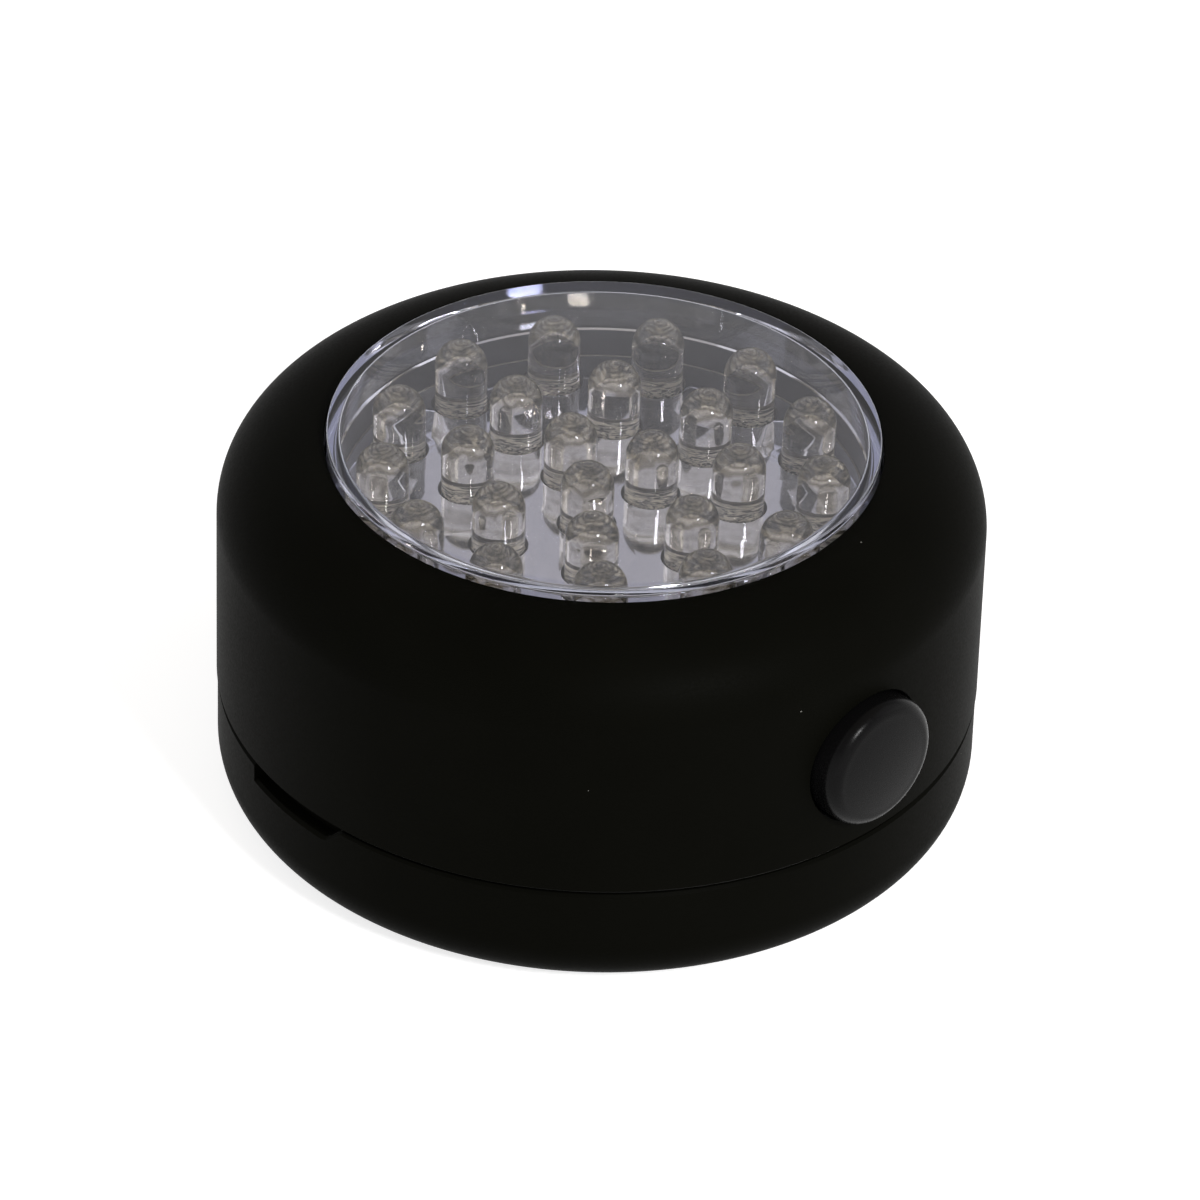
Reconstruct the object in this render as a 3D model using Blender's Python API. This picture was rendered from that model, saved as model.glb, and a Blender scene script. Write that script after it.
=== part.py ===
"""Round magnetic work light, 70 mm across, with 24 LEDs under a clear window.

Frame: +Z up, origin at the centre of the back face that the light stands on, sizes in metres.
The camera side of the product faces -Y. The battery bay, the switch and the button share a frame
of their own, turned about Z: there +X runs along the cells and +Y points out through the button.
"""
import math

import bmesh
import bpy
from mathutils import Matrix

# General values
CLEARANCE = 0.0003
OVERRUN = 0.0020
EMBED = 0.0004
WELD_DISTANCE = 0.000001
SHARP_ANGLE = 32.0
WIRE_ROUTE_STEPS = 4
ROUND_STEPS = 40
DISC_STEPS = 32
PART_STEPS = 24
SMALL_STEPS = 12

# Front housing: a straight wall, an elliptical shoulder and a round window
BODY_RADIUS = 0.0350
BODY_HEIGHT = 0.0363
PARTING_HEIGHT = 0.0113
SHOULDER_RISE = 0.0078
WALL = 0.0020
EDGE_CHAMFER = 0.00025
SHOULDER_STEPS = 7
INNER_SHOULDER_STEPS = 3

# Screw bosses inside the housing, counted from the button's direction
BOSS_RADIUS = 0.0028
BOSS_EMBED = 0.0003
BOSS_TURNS = (38.0, 180.0, 322.0)
PILOT_DEPTH = 0.0052

# Key that stops the rear cover turning, and the snap bead that holds it
KEY_WIDTH = 0.0040
KEY_DEPTH = 0.0012
KEY_HEIGHT = 0.0048
BEAD_HEIGHT = 0.0008
BEAD_DEPTH = 0.0002

# Clear window: a shallow cup with a flange behind the housing's lip
LENS_PROUD = 0.0011
LENS_THICKNESS = 0.0016
LENS_SKIRT = 0.0014
LENS_FLANGE_WIDTH = 0.0020
LENS_FLANGE_THICKNESS = 0.0014
LENS_EDGE_ROUND = 0.0008
LENS_EDGE_STEPS = 3

# LEDs: 5 mm type, three rings of 3, 8 and 13
LED_RADIUS = 0.00244
LED_HEIGHT = 0.0086
LED_FLANGE_RADIUS = 0.0029
LED_FLANGE_THICKNESS = 0.0010
LED_TIP_GAP = 0.0004
LED_DOME_STEPS = 3
LEAD_SIZE = 0.0005
LEAD_PITCH = 0.00254
LEAD_TAIL = 0.0009
INNER_RING_RADIUS = 0.0045
MIDDLE_RING_SHARE = 0.5032
OUTER_RING_RADIUS = 0.0201
LED_RIM_GAP = 0.00106
INNER_RING_START = 132.3
MIDDLE_RING_START = 131.3
OUTER_RING_START = 104.1
INNER_RING_COUNT = 3
MIDDLE_RING_COUNT = 8
OUTER_RING_COUNT = 13

# Reflector: a mirror-bright pan under the window, standing on the board by its skirt
REFLECTOR_THICKNESS = 0.0011
REFLECTOR_FLOOR_INSET = 0.0013
REFLECTOR_RIM_INSET = 0.0003
REFLECTOR_SKIRT = 0.0012

# Circuit board and its resistor
BOARD_THICKNESS = 0.0016
RESISTOR_RADIUS = 0.00115
RESISTOR_LENGTH = 0.0063
RESISTOR_WAIST = 0.0002
RESISTOR_CAP = 0.0013
RESISTOR_LEAD_RADIUS = 0.0003
RESISTOR_SPAN = 0.0100
RESISTOR_TURN = 255.0

# Cells of the AAA size, three side by side
CELL_RADIUS = 0.00525
CELL_LENGTH = 0.0445
CELL_PITCH = 0.0120
CELL_NUB_RADIUS = 0.0019
CELL_NUB_HEIGHT = 0.0010
CELL_EDGE = 0.0005

# Contacts and their conical springs
CONTACT_THICKNESS = 0.0004
CONTACT_WIDTH = 0.0070
CONTACT_TAIL_WIDTH = 0.0020
CONTACT_TAIL_RISE = 0.0010
CONTACT_ROUND = 0.0008
SPRING_LENGTH = 0.0034
SPRING_WIRE_RADIUS = 0.00025
SPRING_BASE_RADIUS = 0.0031
SPRING_TIP_RADIUS = 0.0018
SPRING_TURNS = 3
SPRING_TURN_POINTS = 8

# Battery tray
TRAY_THICKNESS = 0.0013
TRAY_WALL = 0.0012
TRAY_RIM_GAP = 0.0005
TRAY_SKIRT_DROP = 0.0043
PARTITION_DROP = 0.0017
ARCH_STEPS = 10
POST_RADIUS = 0.0014
POST_INSET = 0.0010
POST_TURNS = (75.0, 145.0, 215.0, 285.0)

# Screws of the tray and of the turntable
SCREW_SHANK_RADIUS = 0.0009
SCREW_HEAD_RADIUS = 0.0020
SCREW_HEAD_HEIGHT = 0.0013
TRAY_SCREW_LENGTH = 0.0060

# Push button and the switch behind it
BUTTON_TURN = -46.0
BUTTON_HEIGHT = 0.0204
BUTTON_RADIUS = 0.00625
BUTTON_PROUD = 0.0025
BUTTON_CROWN = 0.0005
BUTTON_EDGE_ROUND = 0.0006
BUTTON_EDGE_STEPS = 3
BUTTON_FLANGE_WIDTH = 0.0010
BUTTON_FLANGE_THICKNESS = 0.0010
BUTTON_WALL = 0.0012
BUTTON_STEM_RADIUS = 0.0024
BUTTON_TRAVEL = 0.0012
SWITCH_WIDTH = 0.0066
SWITCH_DEPTH = 0.0080
PLUNGER_RADIUS = 0.0017
PLUNGER_LENGTH = 0.0046
TERMINAL_WIDTH = 0.0020
TERMINAL_THICKNESS = 0.0004
TERMINAL_REACH = 0.0016
CRADLE_WALL = 0.0012
CRADLE_LIP = 0.0010
CRADLE_LIP_REACH = 0.0016

# Insulated wires
WIRE_RADIUS = 0.0005
WIRE_RUN = 0.0028
WIRE_LANE_RADIUS = 0.0232
WIRE_STEPS = 6

# Rear cover
COVER_STEP = 0.0001
COVER_FILLET = 0.0052
FILLET_STEPS = 5
INNER_FILLET_STEPS = 2
COVER_WALL = 0.0020
COVER_SPIGOT_WALL = 0.0012
COVER_SPIGOT_RISE = 0.0034
COVER_SPIGOT_ROOT = 0.0026
RECESS_RADIUS = 0.0230
RECESS_DEPTH = 0.0056
RECESS_WALL = 0.0016
DECK_THICKNESS = 0.0015
PARTING_GAP = 0.0003
NOTCH_TURN = 219.7
NOTCH_LENGTH = 0.0138
NOTCH_DROP = 0.0013
NOTCH_DEPTH = 0.0015
NOTCH_CHAMFER = 0.0007
NOTCH_STEPS = 6
RIB_THICKNESS = 0.0012
RIB_REACH = 0.0165
RIB_PLACE = 0.0130

# Turntable with its magnet
PLATE_THICKNESS = 0.0014
TABLE_RIM_WALL = 0.0015
TABLE_FACE_INSET = 0.0004
HUB_RADIUS = 0.0040
MAGNET_RADIUS = 0.0090
CUP_WALL = 0.0011
MAGNET_CHAMFER = 0.0003
WASHER_RADIUS = 0.0075
WASHER_THICKNESS = 0.0005
TABLE_HEAD_HEIGHT = 0.0011
TABLE_SCREW_LENGTH = 0.0038
HUB_FLOOR = 0.0005

# Folding hook, its ears and pin
HOOK_THICKNESS = 0.0031
HOOK_WIDTH = 0.0042
HOOK_CUP_GAP = 0.0020
HOOK_ROUND = 0.0008
HOOK_ROUND_LIMIT = 60.0
HOOK_START = -90.0
HOOK_END = 206.0
HOOK_STEPS = 20
HOOK_TIP_STEPS = 5
KNUCKLE_RADIUS = 0.00165
KNUCKLE_HALF = 0.0040
STOP_THICKNESS = 0.0010
EAR_THICKNESS = 0.0020
EAR_LENGTH = 0.0036
PIN_RADIUS = 0.0006
PIN_END = 0.0002

# Places that follow from the sizes above
INNER_RADIUS = BODY_RADIUS - WALL
MIDDLE_RING_RADIUS = INNER_RING_RADIUS + (OUTER_RING_RADIUS - INNER_RING_RADIUS) * MIDDLE_RING_SHARE
LENS_INNER = OUTER_RING_RADIUS + LED_RADIUS + LED_RIM_GAP
LENS_RADIUS = LENS_INNER + LENS_SKIRT
WINDOW_RADIUS = LENS_RADIUS + CLEARANCE
SHOULDER_WIDTH = BODY_RADIUS - WINDOW_RADIUS
SHOULDER_FOOT = BODY_HEIGHT - SHOULDER_RISE
LIP_UNDER = BODY_HEIGHT - WALL
HOUSING_FOOT = PARTING_HEIGHT + PARTING_GAP / 2
LENS_TOP = BODY_HEIGHT + LENS_PROUD
LENS_UNDER = LENS_TOP - LENS_THICKNESS
STACK_RADIUS = LENS_RADIUS + LENS_FLANGE_WIDTH
FLANGE_TOP = LIP_UNDER - CLEARANCE
FLANGE_UNDER = FLANGE_TOP - LENS_FLANGE_THICKNESS
REFLECTOR_TOP = FLANGE_UNDER - CLEARANCE
LED_BASE = LENS_UNDER - LED_TIP_GAP - LED_HEIGHT
BOARD_TOP = LED_BASE - CLEARANCE
BOARD_UNDER = BOARD_TOP - BOARD_THICKNESS
REFLECTOR_UNDER = LED_BASE + LED_FLANGE_THICKNESS + CLEARANCE
MIRROR_HEIGHT = REFLECTOR_UNDER + REFLECTOR_THICKNESS

COVER_RADIUS = BODY_RADIUS - COVER_STEP
COVER_TOP = PARTING_HEIGHT - PARTING_GAP / 2
SPIGOT_RADIUS = INNER_RADIUS - CLEARANCE
SPIGOT_INNER = SPIGOT_RADIUS - COVER_SPIGOT_WALL
BEAD_CENTRE = COVER_TOP + COVER_SPIGOT_RISE / 2
DECK_TOP = RECESS_DEPTH + DECK_THICKNESS
PLATE_TOP = RECESS_DEPTH - CLEARANCE
PLATE_UNDER = PLATE_TOP - PLATE_THICKNESS
HUB_TOP = DECK_TOP + CLEARANCE
WASHER_UNDER = HUB_TOP + CLEARANCE
TABLE_HEAD_UNDER = WASHER_UNDER + WASHER_THICKNESS + CLEARANCE
TABLE_HEAD_TOP = TABLE_HEAD_UNDER + TABLE_HEAD_HEIGHT
TABLE_RADIUS = RECESS_RADIUS - CLEARANCE
TABLE_RIM_INNER = TABLE_RADIUS - TABLE_RIM_WALL
CUP_INNER = MAGNET_RADIUS + CLEARANCE
CUP_RADIUS = CUP_INNER + CUP_WALL
MAGNET_TOP = PLATE_UNDER - CLEARANCE
PILOT_RADIUS = SCREW_SHANK_RADIUS + CLEARANCE

HOOK_TOP = PLATE_UNDER - CLEARANCE
HINGE_HEIGHT = HOOK_TOP - KNUCKLE_RADIUS
HINGE_OFFSET = TABLE_RIM_INNER - STOP_THICKNESS - CLEARANCE - KNUCKLE_RADIUS
HOOK_INNER = CUP_RADIUS + HOOK_CUP_GAP
HOOK_OUTER = HOOK_INNER + HOOK_WIDTH
BORE_RADIUS = PIN_RADIUS + CLEARANCE
EAR_INNER = KNUCKLE_HALF + CLEARANCE
EAR_OUTER = EAR_INNER + EAR_THICKNESS

CELL_UNDER = TABLE_HEAD_TOP + CLEARANCE
CELL_HEIGHT = CELL_UNDER + CELL_RADIUS
TRAY_UNDER = CELL_HEIGHT + CELL_RADIUS + CLEARANCE
TRAY_TOP = TRAY_UNDER + TRAY_THICKNESS
TRAY_FOOT = CELL_HEIGHT - TRAY_SKIRT_DROP
TRAY_RADIUS = INNER_RADIUS - TRAY_RIM_GAP
BOSS_FOOT = TRAY_TOP + CLEARANCE
BOSS_PLACE = INNER_RADIUS + BOSS_EMBED - BOSS_RADIUS
BAY_HALF = (CELL_LENGTH + SPRING_LENGTH + CLEARANCE + CLEARANCE + CLEARANCE) / 2
POCKET_END = BAY_HALF + CONTACT_THICKNESS + CLEARANCE
BAY_END = POCKET_END + TRAY_WALL
TROUGH_RADIUS = CELL_RADIUS + CLEARANCE
BAY_SIDE_INNER = CELL_PITCH + TROUGH_RADIUS
BAY_SIDE = BAY_SIDE_INNER + TRAY_WALL
CONTACT_HALF = CONTACT_WIDTH / 2
TAIL_TOP = TRAY_TOP + CONTACT_TAIL_RISE

BUTTON_HOLE = BUTTON_RADIUS + CLEARANCE
BUTTON_FLANGE = BUTTON_RADIUS + BUTTON_FLANGE_WIDTH
BUTTON_FACE = BODY_RADIUS + BUTTON_PROUD
FLANGE_FRONT = math.sqrt(INNER_RADIUS ** 2 - BUTTON_FLANGE ** 2) - CLEARANCE
FLANGE_BACK = FLANGE_FRONT - BUTTON_FLANGE_THICKNESS
LIP_FRONT = FLANGE_BACK - BUTTON_TRAVEL - CLEARANCE
SWITCH_FRONT = LIP_FRONT - CRADLE_LIP - CLEARANCE
SWITCH_BACK = SWITCH_FRONT - SWITCH_DEPTH
SWITCH_HALF = SWITCH_WIDTH / 2
PLUNGER_TIP = FLANGE_BACK - CLEARANCE
PLUNGER_BACK = PLUNGER_TIP - PLUNGER_LENGTH
CRADLE_INNER = SWITCH_HALF + CLEARANCE
CRADLE_OUTER = CRADLE_INNER + CRADLE_WALL
SHELF_TOP = BUTTON_HEIGHT - SWITCH_HALF - CLEARANCE
SHELF_UNDER = SHELF_TOP - CRADLE_WALL
WIRE_HEIGHT = TRAY_TOP + CLEARANCE + WIRE_RADIUS
TERMINAL_HALF = TERMINAL_THICKNESS / 2
TERMINAL_PLACE = SWITCH_BACK + SWITCH_DEPTH / 2


def polar(radius, degrees):
    """Point on a circle about Z, as x and y."""
    return radius * math.cos(math.radians(degrees)), radius * math.sin(math.radians(degrees))


def arc(centre, radii, start, end, steps):
    """Points along an elliptical arc, with its angles in degrees and both ends included."""
    turns = [start + (end - start) * step / steps for step in range(steps + 1)]
    return [
        (
            centre[0] + radii[0] * math.cos(math.radians(turn)),
            centre[1] + radii[1] * math.sin(math.radians(turn)),
        )
        for turn in turns
    ]


def finish(name, mesh_source, material=None, parent=None):
    """Turn a bmesh into an object with outward faces and smooth round sides."""
    bmesh.ops.recalc_face_normals(mesh_source, faces=mesh_source.faces)
    mesh = bpy.data.meshes.new(name)
    mesh_source.to_mesh(mesh)
    mesh_source.free()
    mesh.shade_smooth()
    mesh.set_sharp_from_angle(angle=math.radians(SHARP_ANGLE))
    return place(name, mesh, material, parent)


def place(name, data, material=None, parent=None):
    """Put mesh or curve data into the scene as one named object."""
    obj = bpy.data.objects.new(name, data)
    bpy.context.scene.collection.objects.link(obj)
    obj.parent = parent
    if material:
        data.materials.append(material)
    return obj


def turned(name, outline, steps=PART_STEPS, material=None, parent=None):
    """Spin a half section of (radius, height) points about Z into one closed solid."""
    section = bmesh.new()
    verts = [section.verts.new((radius, 0.0, height)) for radius, height in outline]
    edges = []
    for here, after in zip(verts, verts[1:] + verts[:1]):
        if here.co.x > 0.0 or after.co.x > 0.0:
            edges.append(section.edges.new((here, after)))
    bmesh.ops.spin(
        section,
        geom=verts + edges,
        cent=(0.0, 0.0, 0.0),
        axis=(0.0, 0.0, 1.0),
        angle=math.tau,
        steps=steps,
        use_merge=True,
    )
    bmesh.ops.remove_doubles(section, verts=section.verts, dist=WELD_DISTANCE)
    bmesh.ops.dissolve_verts(section, verts=flat_poles(section, steps))
    return finish(name, section, material, parent)


def flat_poles(shape, steps):
    """Points on the axis in the middle of a flat end, where a single face can take the fan's place."""
    poles = [vert for vert in shape.verts if len(vert.link_faces) == steps]
    return [
        pole
        for pole in poles
        if all(abs(edge.other_vert(pole).co.z - pole.co.z) < WELD_DISTANCE for edge in pole.link_edges)
    ]


def rod(name, radius, low, high, steps=SMALL_STEPS, material=None, parent=None):
    """Plain cylinder about Z."""
    outline = [(0.0, low), (radius, low), (radius, high), (0.0, high)]
    return turned(name, outline, steps, material, parent)


def prism(name, outline, low, high, material=None, parent=None):
    """Extrude a flat outline of (x, y) points from one height to another."""
    shape = bmesh.new()
    base = shape.faces.new([shape.verts.new((x, y, low)) for x, y in outline])
    grown = bmesh.ops.extrude_face_region(shape, geom=[base])["geom"]
    moved = [item for item in grown if isinstance(item, bmesh.types.BMVert)]
    bmesh.ops.translate(shape, verts=moved, vec=(0.0, 0.0, high - low))
    return finish(name, shape, material, parent)


def block(name, across, along, up, material=None, parent=None):
    """Box between pairs of x, y and z values."""
    outline = [(across[0], along[0]), (across[1], along[0]), (across[1], along[1]), (across[0], along[1])]
    return prism(name, outline, up[0], up[1], material, parent)


def combine(target, tool, operation="DIFFERENCE"):
    """Cut, join or trim with a tool, which stays in the file as a hidden wire guide."""
    modifier = target.modifiers.new(tool.name, "BOOLEAN")
    modifier.solver = "EXACT"
    modifier.operation = operation
    modifier.object = tool
    tool.hide_render = True
    tool.display_type = "WIRE"


def bevel(obj, width, limit):
    """Chamfer the edges that are sharper than the limit, given in degrees."""
    modifier = obj.modifiers.new("bevel", "BEVEL")
    modifier.width = width
    modifier.segments = 1
    modifier.limit_method = "ANGLE"
    modifier.angle_limit = math.radians(limit)


def baked(obj, name, material):
    """Store an object's shape with its modifiers as one mesh, and hide the object as a guide."""
    graph = bpy.context.evaluated_depsgraph_get()
    mesh = bpy.data.meshes.new_from_object(obj.evaluated_get(graph))
    mesh.name = name
    mesh.materials.clear()
    mesh.materials.append(material)
    obj.hide_render = True
    obj.display_type = "WIRE"
    return mesh


def joined_copies(name, tool, places, turns):
    """One guide object that holds a copy of a tool's mesh at each place."""
    gathered = bmesh.new()
    for (x, y), turn in zip(places, turns):
        before = len(gathered.verts)
        gathered.from_mesh(tool.data)
        gathered.verts.ensure_lookup_table()
        fresh = gathered.verts[before:]
        bmesh.ops.rotate(gathered, verts=fresh, matrix=Matrix.Rotation(math.radians(turn), 3, "Z"))
        bmesh.ops.translate(gathered, verts=fresh, vec=(x, y, 0.0))
    tool.hide_render = True
    tool.display_type = "WIRE"
    return finish(name, gathered)


def tube(name, points, radius, material=None, parent=None, smooth=True):
    """Round wire along a route, closed at both ends."""
    curve = bpy.data.curves.new(name, "CURVE")
    curve.dimensions = "3D"
    curve.bevel_depth = radius
    curve.bevel_resolution = 1
    curve.use_fill_caps = True
    curve.resolution_u = WIRE_ROUTE_STEPS
    spline = curve.splines.new("BEZIER" if smooth else "POLY")
    if smooth:
        spline.bezier_points.add(len(points) - 1)
        for knot, point in zip(spline.bezier_points, points):
            knot.co = point
            knot.handle_left_type = "AUTO"
            knot.handle_right_type = "AUTO"
    else:
        spline.points.add(len(points) - 1)
        for knot, point in zip(spline.points, points):
            knot.co = (point[0], point[1], point[2], 1.0)
    return place(name, curve, material, parent)


def make_material(name, colour, roughness, metallic=0.0, alpha=1.0):
    """Principled material with its base values."""
    material = bpy.data.materials.new(name)
    material.use_nodes = True
    shader = material.node_tree.nodes["Principled BSDF"]
    shader.inputs["Base Color"].default_value = (*colour, 1.0)
    shader.inputs["Roughness"].default_value = roughness
    shader.inputs["Metallic"].default_value = metallic
    shader.inputs["Alpha"].default_value = alpha
    return material


def make_materials():
    """The light's materials, by the name of what they are made of."""
    return {
        "soft_black": make_material("soft_touch_black", (0.008, 0.008, 0.008), 0.55),
        "satin_black": make_material("satin_black_abs", (0.012, 0.012, 0.013), 0.32),
        "tray": make_material("tray_black_abs", (0.015, 0.015, 0.016), 0.45),
        "clear": make_material("clear_polystyrene", (0.86, 0.88, 0.92), 0.05, alpha=0.3),
        "epoxy": make_material("clear_epoxy", (0.80, 0.80, 0.76), 0.06, alpha=0.5),
        "mirror": make_material("vacuum_metallised_abs", (0.72, 0.72, 0.76), 0.08, 1.0),
        "board": make_material("fibreglass_board", (0.50, 0.52, 0.44), 0.50),
        "steel": make_material("nickel_plated_steel", (0.60, 0.59, 0.57), 0.28, 1.0),
        "cell": make_material("cell_sleeve", (0.05, 0.12, 0.30), 0.30),
        "magnet": make_material("nickel_plated_magnet", (0.66, 0.66, 0.67), 0.16, 1.0),
        "switch": make_material("switch_nylon", (0.03, 0.03, 0.03), 0.40),
        "plunger": make_material("plunger_acetal", (0.80, 0.79, 0.75), 0.35),
        "resistor": make_material("resistor_lacquer", (0.55, 0.40, 0.24), 0.40),
        "red": make_material("red_wire_pvc", (0.55, 0.03, 0.02), 0.40),
        "black": make_material("black_wire_pvc", (0.02, 0.02, 0.02), 0.40),
    }


def led_places():
    """Centre and turn of each LED, from the inner ring outwards, clockwise seen from above."""
    rings = (
        (INNER_RING_RADIUS, INNER_RING_START, INNER_RING_COUNT),
        (MIDDLE_RING_RADIUS, MIDDLE_RING_START, MIDDLE_RING_COUNT),
        (OUTER_RING_RADIUS, OUTER_RING_START, OUTER_RING_COUNT),
    )
    places = []
    turns = []
    for radius, start, count in rings:
        for index in range(count):
            turn = start - index * 360 / count
            places.append(polar(radius, turn))
            turns.append(turn + 90)
    return places, turns


def make_frames():
    """Empties that carry the battery bay, the screw bosses and the swivelling group."""
    bay = place("bay_frame", None)
    bay.rotation_euler.z = math.radians(BUTTON_TURN - 90)
    swivel = place("swivel_frame", None)
    return bay, swivel


def boss_place(turn):
    """Centre of a screw boss in the bay frame, counted from the button."""
    return polar(BOSS_PLACE, turn + 90)


def housing_cavity(bay):
    """Inside of the housing: straight wall, snap groove, shoulder, lens seat and window."""
    inner_radii = (SHOULDER_WIDTH - WALL, SHOULDER_RISE - WALL)
    seat_radius = STACK_RADIUS + CLEARANCE
    seat_turn = math.degrees(math.acos((seat_radius - WINDOW_RADIUS) / inner_radii[0]))
    groove = INNER_RADIUS + BEAD_DEPTH
    outline = [
        (0.0, HOUSING_FOOT - OVERRUN),
        (INNER_RADIUS, HOUSING_FOOT - OVERRUN),
        (INNER_RADIUS, BEAD_CENTRE - BEAD_HEIGHT),
        (groove, BEAD_CENTRE),
        (INNER_RADIUS, BEAD_CENTRE + BEAD_HEIGHT),
    ]
    outline += arc((WINDOW_RADIUS, SHOULDER_FOOT), inner_radii, 0, seat_turn, INNER_SHOULDER_STEPS)
    outline += [
        (seat_radius, LIP_UNDER),
        (WINDOW_RADIUS, LIP_UNDER),
        (WINDOW_RADIUS, BODY_HEIGHT + OVERRUN),
        (0.0, BODY_HEIGHT + OVERRUN),
    ]
    cavity = turned("housing_cavity_cutter", outline, ROUND_STEPS)
    for number, turn in enumerate(BOSS_TURNS, start=1):
        boss = rod(f"boss_{number}_guide", BOSS_RADIUS, BOSS_FOOT, BODY_HEIGHT, parent=bay)
        boss.location = (*boss_place(turn), 0.0)
        combine(cavity, boss)
    key = block(
        "key_guide",
        (INNER_RADIUS - KEY_DEPTH, BODY_RADIUS),
        (-KEY_WIDTH / 2, KEY_WIDTH / 2),
        (HOUSING_FOOT - OVERRUN, HOUSING_FOOT + KEY_HEIGHT),
    )
    key.rotation_euler.z = math.radians(NOTCH_TURN + 180)
    combine(cavity, key)
    return cavity


def make_front_housing(materials, bay):
    """Moulded shell with its window, button hole, inner bosses and cover key."""
    outline = [
        (0.0, HOUSING_FOOT),
        (BODY_RADIUS - EDGE_CHAMFER, HOUSING_FOOT),
        (BODY_RADIUS, HOUSING_FOOT + EDGE_CHAMFER),
    ]
    outline += arc((WINDOW_RADIUS, SHOULDER_FOOT), (SHOULDER_WIDTH, SHOULDER_RISE), 0, 90, SHOULDER_STEPS)
    outline += [(0.0, BODY_HEIGHT)]
    housing = turned("front_housing", outline, ROUND_STEPS, materials["soft_black"])
    combine(housing, housing_cavity(bay))
    for number, turn in enumerate(BOSS_TURNS, start=1):
        low = BOSS_FOOT - OVERRUN
        pilot = rod(f"pilot_{number}_cutter", PILOT_RADIUS, low, BOSS_FOOT + PILOT_DEPTH, parent=bay)
        pilot.location = (*boss_place(turn), 0.0)
        combine(housing, pilot)
    hole = rod("button_hole_cutter", BUTTON_HOLE, FLANGE_FRONT, BUTTON_FACE, PART_STEPS, parent=bay)
    hole.location.z = BUTTON_HEIGHT
    hole.rotation_euler.x = -math.pi / 2
    combine(housing, hole)
    return housing


def make_lens(materials):
    """Clear window: flat top, rounded edge, skirt and a flange behind the housing's lip."""
    corner = LENS_RADIUS - LENS_EDGE_ROUND
    edge = (LENS_EDGE_ROUND, LENS_EDGE_ROUND)
    outline = [(0.0, LENS_TOP)]
    outline += arc((corner, LENS_TOP - LENS_EDGE_ROUND), edge, 90, 0, LENS_EDGE_STEPS)
    outline += [
        (LENS_RADIUS, FLANGE_TOP),
        (STACK_RADIUS, FLANGE_TOP),
        (STACK_RADIUS, FLANGE_UNDER),
        (LENS_INNER, FLANGE_UNDER),
        (LENS_INNER, LENS_UNDER - LENS_EDGE_ROUND / 2),
        (LENS_INNER - LENS_EDGE_ROUND / 2, LENS_UNDER),
        (0.0, LENS_UNDER),
    ]
    return turned("lens_cover", outline, DISC_STEPS, materials["clear"])


def make_reflector(materials):
    """Mirror pan with a hole for each LED and a skirt that stands on the board."""
    floor_radius = LENS_RADIUS - REFLECTOR_FLOOR_INSET
    rim_radius = LENS_RADIUS - REFLECTOR_RIM_INSET
    skirt_inner = STACK_RADIUS - REFLECTOR_SKIRT
    outline = [
        (0.0, MIRROR_HEIGHT),
        (floor_radius, MIRROR_HEIGHT),
        (rim_radius, REFLECTOR_TOP),
        (STACK_RADIUS, REFLECTOR_TOP),
        (STACK_RADIUS, BOARD_TOP + CLEARANCE),
        (skirt_inner, BOARD_TOP + CLEARANCE),
        (skirt_inner, REFLECTOR_UNDER),
        (0.0, REFLECTOR_UNDER),
    ]
    reflector = turned("reflector", outline, DISC_STEPS, materials["mirror"])
    places, turns = led_places()
    low = REFLECTOR_UNDER - OVERRUN
    punch = rod("led_hole_guide", LED_RADIUS + CLEARANCE, low, MIRROR_HEIGHT + OVERRUN)
    combine(reflector, joined_copies("led_hole_cutters", punch, places, turns))
    return reflector


def make_led_mesh(materials):
    """One LED: domed body, flange and two square leads, shared by all of them."""
    shoulder = LED_HEIGHT - LED_RADIUS
    outline = [
        (0.0, 0.0),
        (LED_FLANGE_RADIUS, 0.0),
        (LED_FLANGE_RADIUS, LED_FLANGE_THICKNESS),
        (LED_RADIUS, LED_FLANGE_THICKNESS),
    ]
    outline += arc((0.0, shoulder), (LED_RADIUS, LED_RADIUS), 0, 90, LED_DOME_STEPS)[:-1]
    outline += [(0.0, LED_HEIGHT)]
    led = turned("led_guide", outline, SMALL_STEPS)
    tail = LED_BASE - BOARD_UNDER + LEAD_TAIL
    half = LEAD_SIZE / 2
    for side in (-1, 1):
        middle = side * LEAD_PITCH / 2
        name = "lead_guide_left" if side < 0 else "lead_guide_right"
        lead = block(name, (middle - half, middle + half), (-half, half), (-tail, EMBED))
        combine(led, lead, "UNION")
    return baked(led, "led", materials["epoxy"])


def make_leds(materials):
    """The 24 LEDs, each standing on the board with its leads along its ring."""
    mesh = make_led_mesh(materials)
    places, turns = led_places()
    for number, ((x, y), turn) in enumerate(zip(places, turns), start=1):
        led = place(f"led_{number:02d}", mesh)
        led.location = (x, y, LED_BASE)
        led.rotation_euler.z = math.radians(turn)


def make_board(materials):
    """Round circuit board with two square holes under each LED."""
    board = rod("led_board", STACK_RADIUS, BOARD_UNDER, BOARD_TOP, DISC_STEPS, materials["board"])
    half = LEAD_SIZE / 2 + CLEARANCE
    up = (BOARD_UNDER - OVERRUN, BOARD_TOP + OVERRUN)
    places, turns = led_places()
    for side in (-1, 1):
        name = "left" if side < 0 else "right"
        middle = side * LEAD_PITCH / 2
        punch = block(f"lead_hole_guide_{name}", (middle - half, middle + half), (-half, half), up)
        combine(board, joined_copies(f"lead_hole_cutters_{name}", punch, places, turns))
    return board


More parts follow.
